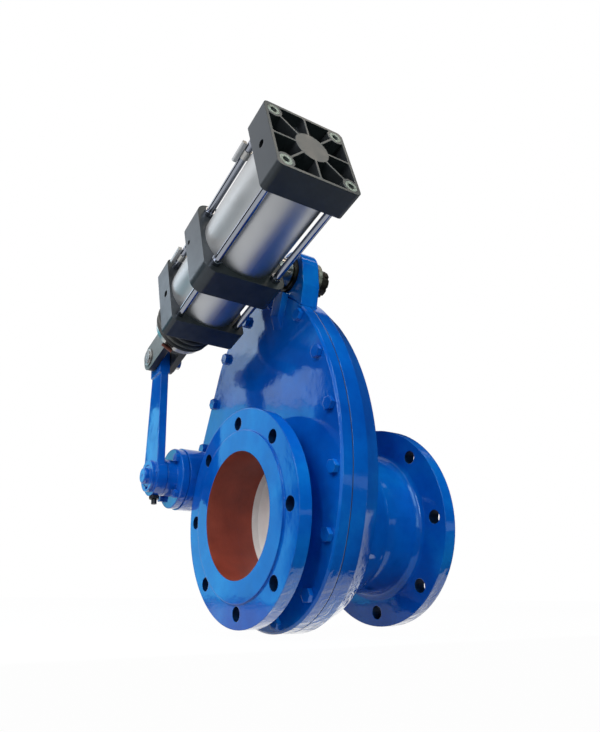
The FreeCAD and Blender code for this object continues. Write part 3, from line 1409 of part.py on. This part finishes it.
def make_clamp_screw():
    """The worm housing on the clamp and its screw, on the near side towards the top."""
    across = FreeCAD.Rotation(FreeCAD.Vector(0, 0, 1), d.clamp_screw_angle.number)
    spot = AT_CYLINDER * place(0, 0, clamp_middle, across)
    body = new_body("hose_clamp_housing", spot)
    sketch = new_sketch(body, "YZ_Plane", "clamp_housing_sketch", clamp_inner + d.clamp_thick)
    half, wide = d.clamp_housing_length / 2, d.clamp_width / 2
    add_outline(sketch, [(-half, -wide), (half, -wide), (half, wide), (-half, wide)])
    pad(body, sketch, "clamp_housing_block", d.clamp_housing_height)
    keep(body)
    bed = doc.addObject("Part::Cylinder", "clamp_screw_bar")
    bind(bed, "Radius", d.clamp_screw_radius)
    bind(bed, "Height", d.clamp_screw_length)
    middle = clamp_inner + d.clamp_thick + d.clamp_housing_height + d.clamp_screw_radius
    bed.Placement = spot * place(middle, d.clamp_screw_length / 2, 0,
                                 FreeCAD.Rotation(FreeCAD.Vector(1, 0, 0), 90))
    bed.Label = "hose_clamp_screw"
    return keep(bed)


make_clamp_screw()

# Two position sensors strapped to the near upper tie rod.

def make_sensors():
    sensors, clamps = [], []
    for index, height in enumerate((d.rear_sensor_height, d.front_sensor_height)):
        start = height - d.sensor_length / 2
        x, y = -d.tie_rod_offset, -d.tie_rod_offset
        spot = AT_CYLINDER * place(x, y, start + (d.sensor_length - d.sensor_clamp_length) / 2, UPRIGHT)
        name = "sensor_clamp_%d" % (index + 1)
        blank = solid_cylinder(name + "_blank", d.sensor_clamp_radius, d.sensor_clamp_length, spot)
        hole = solid_cylinder(name + "_hole", d.tie_rod_radius, d.sensor_clamp_length, spot)
        clamps.append(cut(name, blank, hole))
        body = new_body("sensor_%d" % (index + 1), AT_CYLINDER * place(x, y, start, UPRIGHT))
        sketch = new_sketch(body, "XY_Plane", "sensor_outline_%d" % (index + 1))
        near = -d.sensor_clamp_radius
        half, far = d.sensor_side / 2, near - d.sensor_side
        add_outline(sketch, [(-half, far, d.edge_round), (half, far, d.edge_round),
                             (half, near), (-half, near)])
        pad(body, sketch, "sensor_case_%d" % (index + 1), d.sensor_length)
        sensors.append(body)
    keep(group("sensor_clamps", clamps))
    keep(group("end_sensors", sensors))


make_sensors()

# Trunnion: pin, thrust ring, bushed ear on the cover, washers and a slotted round nut.
ear_back = d.cover_front + d.ear_thick
block_back = d.block_side / 2 - d.lever_plane
pin_step = block_back + d.trunnion_boss
thrust_end = d.cover_front - d.loose_gap
washer_start = ear_back + d.loose_gap
nut_start = washer_start + d.trunnion_washer_thick * 2
trunnion_end = nut_start + d.trunnion_nut_thick
keep(lathe("trunnion_pin", AT_TRUNNION, [
    (0, block_back), (d.trunnion_boss_radius, block_back), (d.trunnion_boss_radius, pin_step, d.edge_round),
    (d.trunnion_pin_radius, pin_step), (d.trunnion_pin_radius, trunnion_end), (0, trunnion_end)]))
keep(ring("trunnion_thrust_ring", AT_TRUNNION, d.trunnion_pin_radius, d.thrust_ring_radius,
          pin_step, thrust_end))
keep(ring("ear_bush", AT_TRUNNION, d.trunnion_pin_radius + d.shaft_clearance,
          d.trunnion_pin_radius + d.ear_bush_wall, d.cover_front, ear_back))
washers = []
for index in range(2):
    start = washer_start + d.trunnion_washer_thick * index
    washers.append(ring("trunnion_washer_%d" % (index + 1), AT_TRUNNION, d.trunnion_pin_radius,
                        d.trunnion_washer_radius, start, start + d.trunnion_washer_thick))
keep(group("trunnion_washers", washers))


def make_trunnion_nut():
    body = ring("trunnion_nut", AT_TRUNNION, d.trunnion_pin_radius, d.trunnion_nut_radius,
                nut_start, trunnion_end)
    sketch = new_sketch(body, "XY_Plane", "nut_slot_sketch", trunnion_end)
    half = d.nut_slot_width / 2
    inner = d.trunnion_nut_radius - d.nut_slot_depth
    outer = d.trunnion_nut_radius + d.cut_overrun
    add_outline(sketch, [(inner, -half), (outer, -half), (outer, half), (inner, half)])
    slot = pocket(body, sketch, "nut_slot", d.trunnion_nut_thick / 2)
    repeat(body, slot, "nut_slots", d.nut_slot_count)
    return keep(body)


make_trunnion_nut()


def make_bracket():
    """The ear that holds the trunnion: a round-headed lug welded to the cover's rim."""
    body = new_body("trunnion_bracket", AT_BORE_FRONT)
    left, right = d.trunnion_x - d.ear_radius, d.trunnion_x + d.ear_radius
    top, foot = trunnion_z + d.ear_radius, rim_z - d.ear_foot_drop
    round_off = d.ear_radius * d.round_share
    sketch = new_sketch(body, "XY_Plane", "ear_sketch", -ear_back)
    add_outline(sketch, [(left, foot), (d.trunnion_x + d.ear_foot_half, foot),
                         (right, trunnion_z - d.ear_shoulder_drop), (right, top, round_off),
                         (left, top, round_off)])
    pad(body, sketch, "ear", d.ear_thick)
    sketch = new_sketch(body, "XY_Plane", "rim_cut_sketch", -d.cover_front)
    add_case_outline(sketch)
    pocket(body, sketch, "rim_cut", d.ear_thick)
    sketch = new_sketch(body, "XY_Plane", "ear_bore_sketch", -d.cover_front)
    add_circle(sketch, d.trunnion_x, trunnion_z, d.trunnion_pin_radius + d.ear_bush_wall)
    pocket(body, sketch, "ear_bore", d.ear_thick)
    return keep(body)


make_bracket()

doc.recompute()
failed = []
for thing in doc.Objects:
    states = [state for state in thing.State if state in ("Invalid", "Error")]
    if states:
        failed.append("%s %s" % (thing.Name, states))
for piece in NODES:
    if piece.Shape.isNull() or not piece.Shape.isValid() or not piece.Shape.Solids:
        failed.append("%s has no valid solid" % piece.Label)
if failed:
    raise RuntimeError("; ".join(failed))

os.makedirs("parts", exist_ok=True)
for piece in NODES:
    piece.Shape.exportStep("parts/%s.step" % piece.Label)
    print(piece.Label, len(piece.Shape.Solids), round(piece.Shape.Volume))
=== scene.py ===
import json
import math

import bmesh
import bpy
from mathutils import Matrix, Vector


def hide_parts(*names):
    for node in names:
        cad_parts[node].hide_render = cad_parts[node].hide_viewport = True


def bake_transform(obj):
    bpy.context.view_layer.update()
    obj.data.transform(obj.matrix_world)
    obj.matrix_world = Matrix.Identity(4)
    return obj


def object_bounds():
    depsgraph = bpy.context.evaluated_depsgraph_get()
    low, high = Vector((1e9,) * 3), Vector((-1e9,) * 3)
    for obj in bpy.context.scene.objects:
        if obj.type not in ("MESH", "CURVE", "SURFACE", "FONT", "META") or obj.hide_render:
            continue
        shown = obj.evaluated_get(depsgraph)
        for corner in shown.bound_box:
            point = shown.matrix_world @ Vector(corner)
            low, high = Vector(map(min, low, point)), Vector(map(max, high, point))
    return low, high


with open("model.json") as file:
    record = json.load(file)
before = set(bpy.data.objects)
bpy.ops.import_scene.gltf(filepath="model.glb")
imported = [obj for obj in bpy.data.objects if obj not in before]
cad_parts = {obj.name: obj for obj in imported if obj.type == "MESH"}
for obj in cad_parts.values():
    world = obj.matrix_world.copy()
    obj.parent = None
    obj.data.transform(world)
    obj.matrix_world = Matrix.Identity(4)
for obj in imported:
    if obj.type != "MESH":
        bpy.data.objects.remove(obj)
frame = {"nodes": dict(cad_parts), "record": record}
cad_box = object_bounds()
nodes = frame["nodes"]
scene = bpy.context.scene


# Node helpers. Every material is procedural; coordinates are metres in the object's own frame.

# Most values of a noise texture lie between these two
NOISE_SPREAD = (0.25, 0.75)
BEVEL_SAMPLES = 6


def new_material(name):
    material = bpy.data.materials.new(name)
    material.use_nodes = True
    tree = material.node_tree
    shader = tree.nodes["Principled BSDF"]
    return material, tree, shader


def link(tree, source, output, target, socket):
    tree.links.new(source.outputs[output], target.inputs[socket])


def coordinates(tree):
    return tree.nodes.new("ShaderNodeTexCoord")


def noise(tree, place, scale, detail=4.0, rough=0.5, distortion=0.0, output="Object"):
    node = tree.nodes.new("ShaderNodeTexNoise")
    node.inputs["Scale"].default_value = scale
    node.inputs["Detail"].default_value = detail
    node.inputs["Roughness"].default_value = rough
    node.inputs["Distortion"].default_value = distortion
    link(tree, place, output, node, "Vector")
    return node


def ramp(tree, source, stops):
    """A colour ramp; stops are (position, colour)."""
    node = tree.nodes.new("ShaderNodeValToRGB")
    elements = node.color_ramp.elements
    while len(elements) < len(stops):
        elements.new(0.5)
    for element, (position, colour) in zip(elements, stops):
        element.position = position
        element.color = tuple(colour) + (1.0,)
    link(tree, source, "Fac", node, "Fac")
    return node


def span(tree, source, output, start, end, low=0.0, high=1.0):
    """Maps start..end of a value to low..high."""
    node = tree.nodes.new("ShaderNodeMapRange")
    node.inputs["From Min"].default_value = start
    node.inputs["From Max"].default_value = end
    node.inputs["To Min"].default_value = low
    node.inputs["To Max"].default_value = high
    link(tree, source, output, node, "Value")
    return node


def maths(tree, operation, *values):
    """A Math node; each value is a (node, output) pair."""
    node = tree.nodes.new("ShaderNodeMath")
    node.operation = operation
    for socket, (source, output) in enumerate(values):
        link(tree, source, output, node, socket)
    return node


def bump(tree, source, height, strength=1.0, normal=None):
    """Bump of a real height in metres."""
    node = tree.nodes.new("ShaderNodeBump")
    node.inputs["Distance"].default_value = height
    node.inputs["Strength"].default_value = strength
    link(tree, source, "Fac", node, "Height")
    if normal is not None:
        link(tree, normal, "Normal", node, "Normal")
    return node


def rounded(tree, radius):
    """Catches light along edges as a small rounding does."""
    node = tree.nodes.new("ShaderNodeBevel")
    node.samples = BEVEL_SAMPLES
    node.inputs["Radius"].default_value = radius
    return node


def set_colour(tree, shader, cloud, stops):
    link(tree, ramp(tree, cloud, stops), "Color", shader, "Base Color")


def set_roughness(tree, shader, cloud, low, high):
    level = span(tree, cloud, "Fac", *NOISE_SPREAD, low, high)
    link(tree, level, "Result", shader, "Roughness")


def set_normal(tree, shader, marks):
    link(tree, marks, "Normal", shader, "Normal")


# Materials

# The enamel has run where a face turns away from the pipe's direction, looks down and lies
# outside the necks: each pair is where that starts and where it is complete
RIM_ACROSS = (0.75, 0.45)
RIM_DOWN = (-0.4, -0.62)
RIM_RADIUS = (0.15, 0.165)
# Scale of the lines round the bore, along and across them
BORE_LINES = (30, 900, 30)
# Machining marks are this much finer than the clouds of colour
MARKS_PER_CLOUD = 12


def metal(name, colour, roughness, vary=0.06, grain=60.0, edge=0.0006, metallic=1.0,
          depth=0.00003, reflection=(1.0, 1.0, 1.0)):
    """Bare or plated metal: colour and roughness vary a little, with fine machining marks."""
    material, tree, shader = new_material(name)
    place = coordinates(tree)
    cloud = noise(tree, place, grain, 5.0, 0.6)
    dark = tuple(channel * (1 - vary * 2) for channel in colour)
    light = tuple(min(1.0, channel * (1 + vary)) for channel in colour)
    set_colour(tree, shader, cloud, [(0.3, dark), (0.7, light)])
    set_roughness(tree, shader, cloud, roughness * 0.8, roughness * 1.25)
    shader.inputs["Metallic"].default_value = metallic
    shader.inputs["Specular Tint"].default_value = reflection + (1.0,)
    marks = noise(tree, place, grain * MARKS_PER_CLOUD, 3.0)
    set_normal(tree, shader, bump(tree, marks, depth, 0.6, rounded(tree, edge)))
    return material


def below_rim(tree, place):
    """1 on the undersides of the rims, where the enamel has run, and 0 elsewhere."""
    surface = tree.nodes.new("ShaderNodeNewGeometry")
    parts = tree.nodes.new("ShaderNodeSeparateXYZ")
    link(tree, surface, "True Normal", parts, "Vector")
    across = span(tree, maths(tree, "ABSOLUTE", (parts, "Y")), "Value", *RIM_ACROSS)
    down = span(tree, parts, "Z", *RIM_DOWN)
    both = maths(tree, "MULTIPLY", (across, "Result"), (down, "Result"))
    radial = tree.nodes.new("ShaderNodeVectorMath")
    radial.operation = "MULTIPLY"
    radial.inputs[1].default_value = (1, 0, 1)
    link(tree, place, "Object", radial, 0)
    reach = tree.nodes.new("ShaderNodeVectorMath")
    reach.operation = "LENGTH"
    link(tree, radial, "Vector", reach, 0)
    outside = span(tree, reach, "Value", *RIM_RADIUS)
    return maths(tree, "MULTIPLY", (both, "Value"), (outside, "Result"))


def make_enamel():
    """Gloss blue enamel over castings: orange peel, slow sags, and runs under the rims."""
    material, tree, shader = new_material("blue_enamel")
    place = coordinates(tree)
    set_colour(tree, shader, noise(tree, place, 7.0, 5.0, 0.6),
               [(0.3, (0.001, 0.062, 0.38)), (0.5, (0.0015, 0.105, 0.52)),
                (0.72, (0.005, 0.2, 0.66))])
    set_roughness(tree, shader, noise(tree, place, 40.0), 0.04, 0.09)
    shader.inputs["Specular IOR Level"].default_value = 0.4
    shader.inputs["Specular Tint"].default_value = (0.5, 0.78, 1.0, 1)
    edges = rounded(tree, 0.002)
    sags = bump(tree, noise(tree, place, 14.0, 2.0, 0.4, 0.3), 0.001, normal=edges)
    runs = bump(tree, noise(tree, place, 48.0, 3.0, 0.5, 0.8), 0.0032, normal=sags)
    peel = bump(tree, noise(tree, place, 120.0, 4.0, 0.55, 0.4), 0.00011, normal=runs)
    set_normal(tree, shader, peel)
    rim = below_rim(tree, place)
    link(tree, rim, "Value", runs, "Strength")
    link(tree, rim, "Value", shader, "Coat Weight")
    link(tree, runs, "Normal", shader, "Coat Normal")
    return material


def make_primer():
    """Red-brown primer in the bore, with fine marks round it."""
    material, tree, shader = new_material("bore_primer")
    place = coordinates(tree)
    cloud = noise(tree, place, 22.0, 6.0, 0.6)
    set_colour(tree, shader, cloud, [(0.3, (0.2, 0.028, 0.015)), (0.7, (0.33, 0.055, 0.03))])
    set_roughness(tree, shader, cloud, 0.38, 0.52)
    mapping = tree.nodes.new("ShaderNodeMapping")
    mapping.inputs["Scale"].default_value = BORE_LINES
    link(tree, place, "Object", mapping, "Vector")
    lines = noise(tree, mapping, 1.0, 2.0, output="Vector")
    set_normal(tree, shader, bump(tree, lines, 0.0002))
    return material


def make_hole_painted_shade():
    """Painted shade: dark blue inside the bolt holes, darker than the enamel, where shade falls
    in them.
    """
    material, tree, shader = new_material("hole_painted_shade")
    place = coordinates(tree)
    set_colour(tree, shader, noise(tree, place, 120.0),
               [(0.3, (0.002, 0.01, 0.035)), (0.7, (0.004, 0.03, 0.1))])
    shader.inputs["Roughness"].default_value = 0.55
    shader.inputs["Specular IOR Level"].default_value = 0.1
    set_normal(tree, shader, bump(tree, noise(tree, place, 400.0, 3.0), 0.0001))
    return material


def make_ceramic():
    material, tree, shader = new_material("white_ceramic")
    place = coordinates(tree)
    cloud = noise(tree, place, 18.0, 5.0, 0.6)
    set_colour(tree, shader, cloud, [(0.3, (0.76, 0.755, 0.74)), (0.7, (0.87, 0.87, 0.86))])
    set_roughness(tree, shader, cloud, 0.18, 0.32)
    set_normal(tree, shader, bump(tree, noise(tree, place, 500.0, 3.0), 0.00003))
    return material


def make_rubber(name, dark, light):
    material, tree, shader = new_material(name)
    place = coordinates(tree)
    cloud = noise(tree, place, 45.0, 6.0, 0.65)
    set_colour(tree, shader, cloud, [(0.3, dark), (0.75, light)])
    set_roughness(tree, shader, cloud, 0.42, 0.68)
    set_normal(tree, shader, bump(tree, noise(tree, place, 700.0), 0.00012))
    return material


def make_flag_cloth():
    material, tree, shader = new_material("flag_cloth")
    set_colour(tree, shader, noise(tree, coordinates(tree), 3.0, 2.0),
               [(0.3, (0.015, 0.017, 0.022)), (0.7, (0.03, 0.034, 0.04))])
    shader.inputs["Roughness"].default_value = 0.9
    return material


enamel = make_enamel()
rubber = make_rubber("black_rubber", (0.012, 0.012, 0.013), (0.035, 0.035, 0.036))
dark_bronze = metal("dark_bronze", (0.035, 0.03, 0.026), 0.33, 0.2, 120.0, metallic=0.85)

SLOTS = {
    "blue_enamel": enamel,
    "white_ceramic": make_ceramic(),
    "black_rubber": rubber,
    "bronze": metal("bronze", (0.2, 0.11, 0.06), 0.32),
    "dark_bronze": dark_bronze,
    "bright_steel": metal("bright_steel", (0.42, 0.42, 0.42), 0.2, 0.05),
    "stainless_steel": metal("stainless_steel", (0.42, 0.42, 0.41), 0.28),
    "zinc_plate": metal("zinc_plate", (0.34, 0.335, 0.3), 0.32, 0.16),
    "black_oxide_steel": metal("black_oxide_steel", (0.012, 0.014, 0.02), 0.35, 0.2,
                               metallic=0.7),
    "chromed_steel": metal("chromed_steel", (0.28, 0.3, 0.35), 0.12, 0.03),
    "black_anodised": metal("black_anodised", (0.036, 0.04, 0.045), 0.34, 0.15, 40.0, edge=0.0012,
                            metallic=0.3, depth=0.00002, reflection=(0.8, 0.88, 1.0)),
    "clear_anodised": metal("clear_anodised", (0.46, 0.472, 0.49), 0.44, 0.02, 8.0,
                            depth=0.000003),
    "cast_grey": metal("cast_grey", (0.17, 0.17, 0.165), 0.42, 0.15, 90.0, edge=0.0015,
                       metallic=0.8, depth=0.0003),
    "copper_screw": metal("copper_screw", (0.13, 0.05, 0.04), 0.35, 0.1),
}

# Materials of some faces only
primer = make_primer()
# Dark blue painted shade for the inside of the flange bolt holes
hole_painted_shade = make_hole_painted_shade()
rust_brown = metal("brown_washer", (0.14, 0.07, 0.045), 0.35, 0.15)
# Painted shade: a dark copy of the fork's metal for its sides and underside, which fall in shade
painted_fork_shade = metal("fork_painted_shade", (0.02, 0.022, 0.03), 0.4, 0.2, 90.0, edge=0.0015,
                metallic=0.5, depth=0.0002)
dull_zinc = metal("dull_zinc", (0.25, 0.28, 0.265), 0.5, 0.25, 150.0)
# Paler rubber for the crests of the bellows' ridges: a painted highlight
ridge_painted_highlight = make_rubber("ridge_painted_highlight", (0.05, 0.05, 0.046), (0.11, 0.108, 0.1))


# Dressing the CAD meshes

SHARP_ANGLE = math.radians(34.0)
# Metres: the lining's radius with a little to spare, the band round the bolt circle that holds
# the bolt holes but not the rim, and the plane between the two trunnion washers
BORE_RADIUS = 0.1004
HOLE_BAND = (0.1355, 0.1595)
WASHER_SPLIT = 0.0984


def dress(node, material):
    mesh = nodes[node].data
    mesh.materials.clear()
    mesh.materials.append(material)
    mesh.polygons.foreach_set("use_smooth", [True] * len(mesh.polygons))
    mesh.set_sharp_from_angle(angle=SHARP_ANGLE)


def paint_faces(node, material, wanted):
    """Gives a second material to the faces whose centre and normal are wanted."""
    mesh = nodes[node].data
    mesh.materials.append(material)
    index = len(mesh.materials) - 1
    for face in mesh.polygons:
        if wanted(face.center, face.normal):
            face.material_index = index


def everywhere(centre, normal):
    return True


def in_bore(centre, normal):
    return math.hypot(centre.x, centre.z) < BORE_RADIUS and abs(normal.y) < 0.5


def in_flange_hole(centre, normal):
    return HOLE_BAND[0] < math.hypot(centre.x, centre.z) < HOLE_BAND[1] and abs(normal.y) < 0.3


def first_washer(centre, normal):
    return centre.y < WASHER_SPLIT


def fork_shaded_faces(centre, normal):
    """All but the fork's faces towards the front, which get painted shade."""
    return normal.y > -0.6


for part in frame["record"]["subparts"]:
    dress(part["node"], SLOTS[part["material_slot"]])

for node, material, wanted in (
        ("front_cover", primer, in_bore),
        ("inlet_flange", primer, in_bore),
        ("rear_housing", primer, in_bore),
        # painted shade inside the flange bolt holes
        ("inlet_flange", hole_painted_shade, in_flange_hole),
        ("rear_housing", hole_painted_shade, in_flange_hole),
        ("trunnion_washers", rust_brown, first_washer),
        ("trunnion_thrust_ring", dark_bronze, everywhere),
        ("tie_rod_nuts", dull_zinc, everywhere),
        ("shaft", enamel, everywhere),
        ("shaft_key", enamel, everywhere),
        # painted shade on the fork's sides and underside
        ("rod_fork", painted_fork_shade, fork_shaded_faces)):
    paint_faces(node, material, wanted)


# Bellows: soft folds in place of the plain zigzag solid, on the cylinder at one end and on the
# rod at the other. Distances are mm in front of the trunnion, radii mm off the cylinder's axis.

TRUNNION = Vector((0.073, -0.053, 0.4070181))
TILT = math.radians(15.32683)
ALONG = Vector((math.cos(TILT), 0, math.sin(TILT)))
ACROSS = Vector((math.sin(TILT), 0, -math.cos(TILT)))
NEAR = Vector((0, 1, 0))
TURN_STEPS = 96
FOLD_STEPS = 14
# (distance, radius) of each ridge and valley, then of the cuff under the hose clamp
FOLDS = [(149.6, 50.0), (160.0, 57.5), (167.0, 49.5), (174.0, 57.0), (181.0, 49.0),
         (188.0, 56.0), (194.5, 48.5), (200.0, 53.5), (205.0, 46.6)]
CUFF = [(206.6, 45.8), (211.0, 45.75), (217.1, 45.75)]
RUBBER_WALL = 2.4
# 0 gives straight flanks between ridge and valley, 1 gives fully round ones
ROUNDNESS = 0.75
# The ridges are painted paler beyond this radius, as a painted highlight along their crests
RIDGE_HIGHLIGHT_RADIUS = 54.0


def on_cylinder(distance, radius, angle):
    """The point in metres at a distance, radius and angle given in mm and radians."""
    return (TRUNNION - ALONG * (distance / 1000)
            + (ACROSS * math.cos(angle) + NEAR * math.sin(angle)) * (radius / 1000))


def fold_profile():
    """Points (distance, radius) from the cap to the cuff, with round ridges and valleys."""
    points = []
    for (start, low), (end, high) in zip(FOLDS, FOLDS[1:]):
        for step in range(FOLD_STEPS):
            share = step / FOLD_STEPS
            eased = share - ROUNDNESS * math.sin(2 * math.pi * share) / (2 * math.pi)
            points.append((start + (end - start) * share, low + (high - low) * eased))
    return points + [FOLDS[-1]] + CUFF


def unevenness(distance, angle):
    """How far in mm the soft folds sag off true: nothing at both ends, most in the middle."""
    share = (distance - FOLDS[0][0]) / (FOLDS[-1][0] - FOLDS[0][0])
    slack = math.sin(math.pi * min(max(share, 0.0), 1.0))
    return slack * (0.5 * math.sin(3 * angle + distance * 0.11)
                    + 0.3 * math.sin(7 * angle - distance * 0.2))


def add_bellows():
    profile = fold_profile()
    loop = profile + [(distance, radius - RUBBER_WALL) for distance, radius in reversed(profile)]
    verts, faces = [], []
    for distance, radius in loop:
        for turn in range(TURN_STEPS):
            angle = 2 * math.pi * turn / TURN_STEPS
            uneven = unevenness(distance, angle)
            verts.append(on_cylinder(distance + uneven * 0.7, radius + uneven * 0.5, angle))
    for ring in range(len(loop)):
        after = (ring + 1) % len(loop)
        for turn in range(TURN_STEPS):
            beside = (turn + 1) % TURN_STEPS
            faces.append((ring * TURN_STEPS + turn, ring * TURN_STEPS + beside,
                          after * TURN_STEPS + beside, after * TURN_STEPS + turn))
    mesh = bpy.data.meshes.new("bellows_folds")
    mesh.from_pydata(verts, [], faces)
    mesh.materials.append(rubber)
    mesh.materials.append(ridge_painted_highlight)
    build = bmesh.new()
    build.from_mesh(mesh)
    bmesh.ops.recalc_face_normals(build, faces=build.faces)
    for face in build.faces:
        face.smooth = True
        middle = face.calc_center_median() - TRUNNION
        radius = (middle - ALONG * middle.dot(ALONG)).length * 1000
        # Faces out on the ridges take the paler rubber, a painted highlight
        face.material_index = 1 if radius > RIDGE_HIGHLIGHT_RADIUS else 0
    build.to_mesh(mesh)
    build.free()
    piece = bpy.data.objects.new("bellows_folds", mesh)
    scene.collection.objects.link(piece)
    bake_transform(piece)
    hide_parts("bellows")


add_bellows()


# Camera at the photograph's angle

# Pixels of the photograph: its size, the focal length and the point straight ahead of the lens
PHOTO_WIDTH, PHOTO_HEIGHT = 600, 732
FOCAL = 603.47
AHEAD_X, AHEAD_Y = 244.476, 387.561
SENSOR = 36.0
# Metres from the origin: away from it, to the side and up as the camera sees it
BACK, ASIDE, RAISED = 0.94984, 0.014329, 0.199424
# The camera was solved from the raised face, 3 mm in front of the bolting face
FACE_OFFSET = Vector((0, 0.003, 0))


def add_camera():
    azimuth, elevation, roll = math.radians(59.852), math.radians(-18.748), math.radians(0.4225)
    back = Vector((math.sin(azimuth) * math.cos(elevation),
                   -math.cos(azimuth) * math.cos(elevation), math.sin(elevation)))
    right = Vector((math.cos(azimuth), math.sin(azimuth), 0))
    up = back.cross(right)
    turned_right = math.cos(roll) * right + math.sin(roll) * up
    turned_up = -math.sin(roll) * right + math.cos(roll) * up
    eye = back * BACK + turned_right * ASIDE + turned_up * RAISED - FACE_OFFSET
    data = bpy.data.cameras.new("camera")
    data.sensor_fit = "VERTICAL"
    data.sensor_height = SENSOR
    data.lens = FOCAL / PHOTO_HEIGHT * SENSOR
    data.shift_x = (PHOTO_WIDTH / 2 - AHEAD_X) / PHOTO_HEIGHT
    data.shift_y = (AHEAD_Y - PHOTO_HEIGHT / 2) / PHOTO_HEIGHT
    data.clip_start = 0.01
    camera = bpy.data.objects.new("camera", data)
    camera.matrix_world = Matrix((
        (turned_right.x, turned_up.x, back.x, eye.x),
        (turned_right.y, turned_up.y, back.y, eye.y),
        (turned_right.z, turned_up.z, back.z, eye.z),
        (0, 0, 0, 1)))
    scene.collection.objects.link(camera)
    scene.camera = camera


add_camera()


# Floor, world, lamps and flags. The floor and the world are white to the camera and in
# reflections; the object is lit by the lamps and a weak pale blue world.

FLOOR_GAP = 0.004
FLOOR_HALF = 6.0
# How much of the floor's look is plain white; the rest is lit and takes the shadow
WHITE_SHARE = 0.965

MIDDLE = (0.0, 0.1, 0.15)
LAMPS = (
    # name, place, target, size, watts, colour
    ("left", (-1.51, -0.91, 1.05), MIDDLE, (0.48, 0.6), 1.9, (0.7, 0.88, 1.0)),
    ("left_high", (-1.33, -1.16, 1.42), (0.1, -0.05, 0.42), (0.5, 0.35), 1.0, (0.85, 0.94, 1.0)),
    ("sky", (-1.51, -0.81, 0.28), MIDDLE, (0.56, 0.86), 3.4, (0.22, 0.8, 1.0)),
    ("key", (0.3, -2.0, 1.5), MIDDLE, (1.4, 1.2), 27, (1.0, 0.98, 0.93)),
    ("right", (1.7, 0.2, 1.4), MIDDLE, (1.4, 1.2), 26, (0.85, 1.0, 0.93)),
    ("glint", (1.25, -1.55, 0.85), MIDDLE, (0.22, 0.9), 9, (1.0, 1.0, 1.0)),
    ("fill", (1.6, 0.1, 0.1), MIDDLE, (1.0, 0.5), 4.4, (0.75, 1.0, 0.85)),
    ("top", (0.8, 1.0, 2.5), (0.25, 0.0, 0.4), (0.7, 0.6), 4.5, (1.0, 0.86, 0.7)),
)
# Dark cloth panels, as in a studio, for the gloss paint and bare metal to reflect
FLAGS = (
    # name, place, target, width, height
    ("flag_left", (-1.9, -1.4, 0.2), MIDDLE, 3.0, 2.1),
    ("flag_right", (2.3, 1.3, 1.1), MIDDLE, 3.0, 2.2),
    ("flag_top", (0.9, 1.4, 3.2), (0.9, 1.4, 0.0), 3.4, 3.8),
    ("flag_back", (-0.2, 2.6, 0.95), MIDDLE, 4.2, 2.3),
    ("flag_low", (1.6, 0.6, -0.172), (1.6, 0.6, 1.0), 2.8, 2.8),
)


def seen_rays(tree):
    """1 for camera, glossy and transmission rays, 0 for the light that falls on the object."""
    path = tree.nodes.new("ShaderNodeLightPath")
    direct = maths(tree, "MAXIMUM", (path, "Is Glossy Ray"), (path, "Is Camera Ray"))
    return maths(tree, "MAXIMUM", (path, "Is Transmission Ray"), (direct, "Value"))


def add_floor():
    mesh = bpy.data.meshes.new("floor")
    low = cad_box[0][2] - FLOOR_GAP
    size = FLOOR_HALF
    mesh.from_pydata([(-size, -size, low), (size, -size, low), (size, size, low),
                      (-size, size, low)], [], [(0, 1, 2, 3)])
    floor = bpy.data.objects.new("floor", mesh)
    scene.collection.objects.link(floor)
    material, tree, shader = new_material("floor")
    shader.inputs["Base Color"].default_value = (0.6, 0.6, 0.6, 1)
    shader.inputs["Roughness"].default_value = 0.7
    shader.inputs["Specular IOR Level"].default_value = 0.1
    white = tree.nodes.new("ShaderNodeEmission")
    white.inputs["Color"].default_value = (1, 1, 1, 1)
    white.inputs["Strength"].default_value = 1.02
    share = maths(tree, "MULTIPLY", (seen_rays(tree), "Value"))
    share.inputs[1].default_value = WHITE_SHARE
    mix = tree.nodes.new("ShaderNodeMixShader")
    link(tree, share, "Value", mix, "Fac")
    link(tree, shader, "BSDF", mix, 1)
    link(tree, white, "Emission", mix, 2)
    link(tree, mix, "Shader", tree.nodes["Material Output"], "Surface")
    mesh.materials.append(material)


def background(tree, colour, strength):
    node = tree.nodes.new("ShaderNodeBackground")
    node.inputs["Color"].default_value = colour
    node.inputs["Strength"].default_value = strength
    return node


def add_world():
    world = bpy.data.worlds.new("studio")
    world.use_nodes = True
    tree = world.node_tree
    tree.nodes.clear()
    output = tree.nodes.new("ShaderNodeOutputWorld")
    seen = background(tree, (1, 1, 1, 1), 1.0)
    lit = background(tree, (0.6, 0.78, 1.0, 1), 0.3)
    mix = tree.nodes.new("ShaderNodeMixShader")
    link(tree, seen_rays(tree), "Value", mix, "Fac")
    link(tree, lit, "Background", mix, 1)
    link(tree, seen, "Background", mix, 2)
    link(tree, mix, "Shader", output, "Surface")
    scene.world = world


def aimed(place, target):
    """A matrix at a place, with -Z towards the target."""
    place, target = Vector(place), Vector(target)
    turn = (place - target).to_track_quat("Z", "Y")
    return Matrix.Translation(place) @ turn.to_matrix().to_4x4()


def add_lamp(name, place, target, size, power, colour):
    data = bpy.data.lights.new(name, "AREA")
    data.shape = "RECTANGLE"
    data.size, data.size_y = size
    data.energy = power
    data.color = colour
    lamp = bpy.data.objects.new(name, data)
    lamp.matrix_world = aimed(place, target)
    scene.collection.objects.link(lamp)


def add_flag(name, place, target, width, height, cloth):
    mesh = bpy.data.meshes.new(name)
    w, h = width / 2, height / 2
    mesh.from_pydata([(-w, -h, 0), (w, -h, 0), (w, h, 0), (-w, h, 0)], [], [(0, 1, 2, 3)])
    mesh.materials.append(cloth)
    flag = bpy.data.objects.new(name, mesh)
    flag.matrix_world = aimed(place, target)
    flag.visible_camera = False
    scene.collection.objects.link(flag)


add_floor()
add_world()
for lamp in LAMPS:
    add_lamp(*lamp)
flag_cloth = make_flag_cloth()
for flag in FLAGS:
    add_flag(*flag, flag_cloth)

scene.view_settings.view_transform = "Standard"
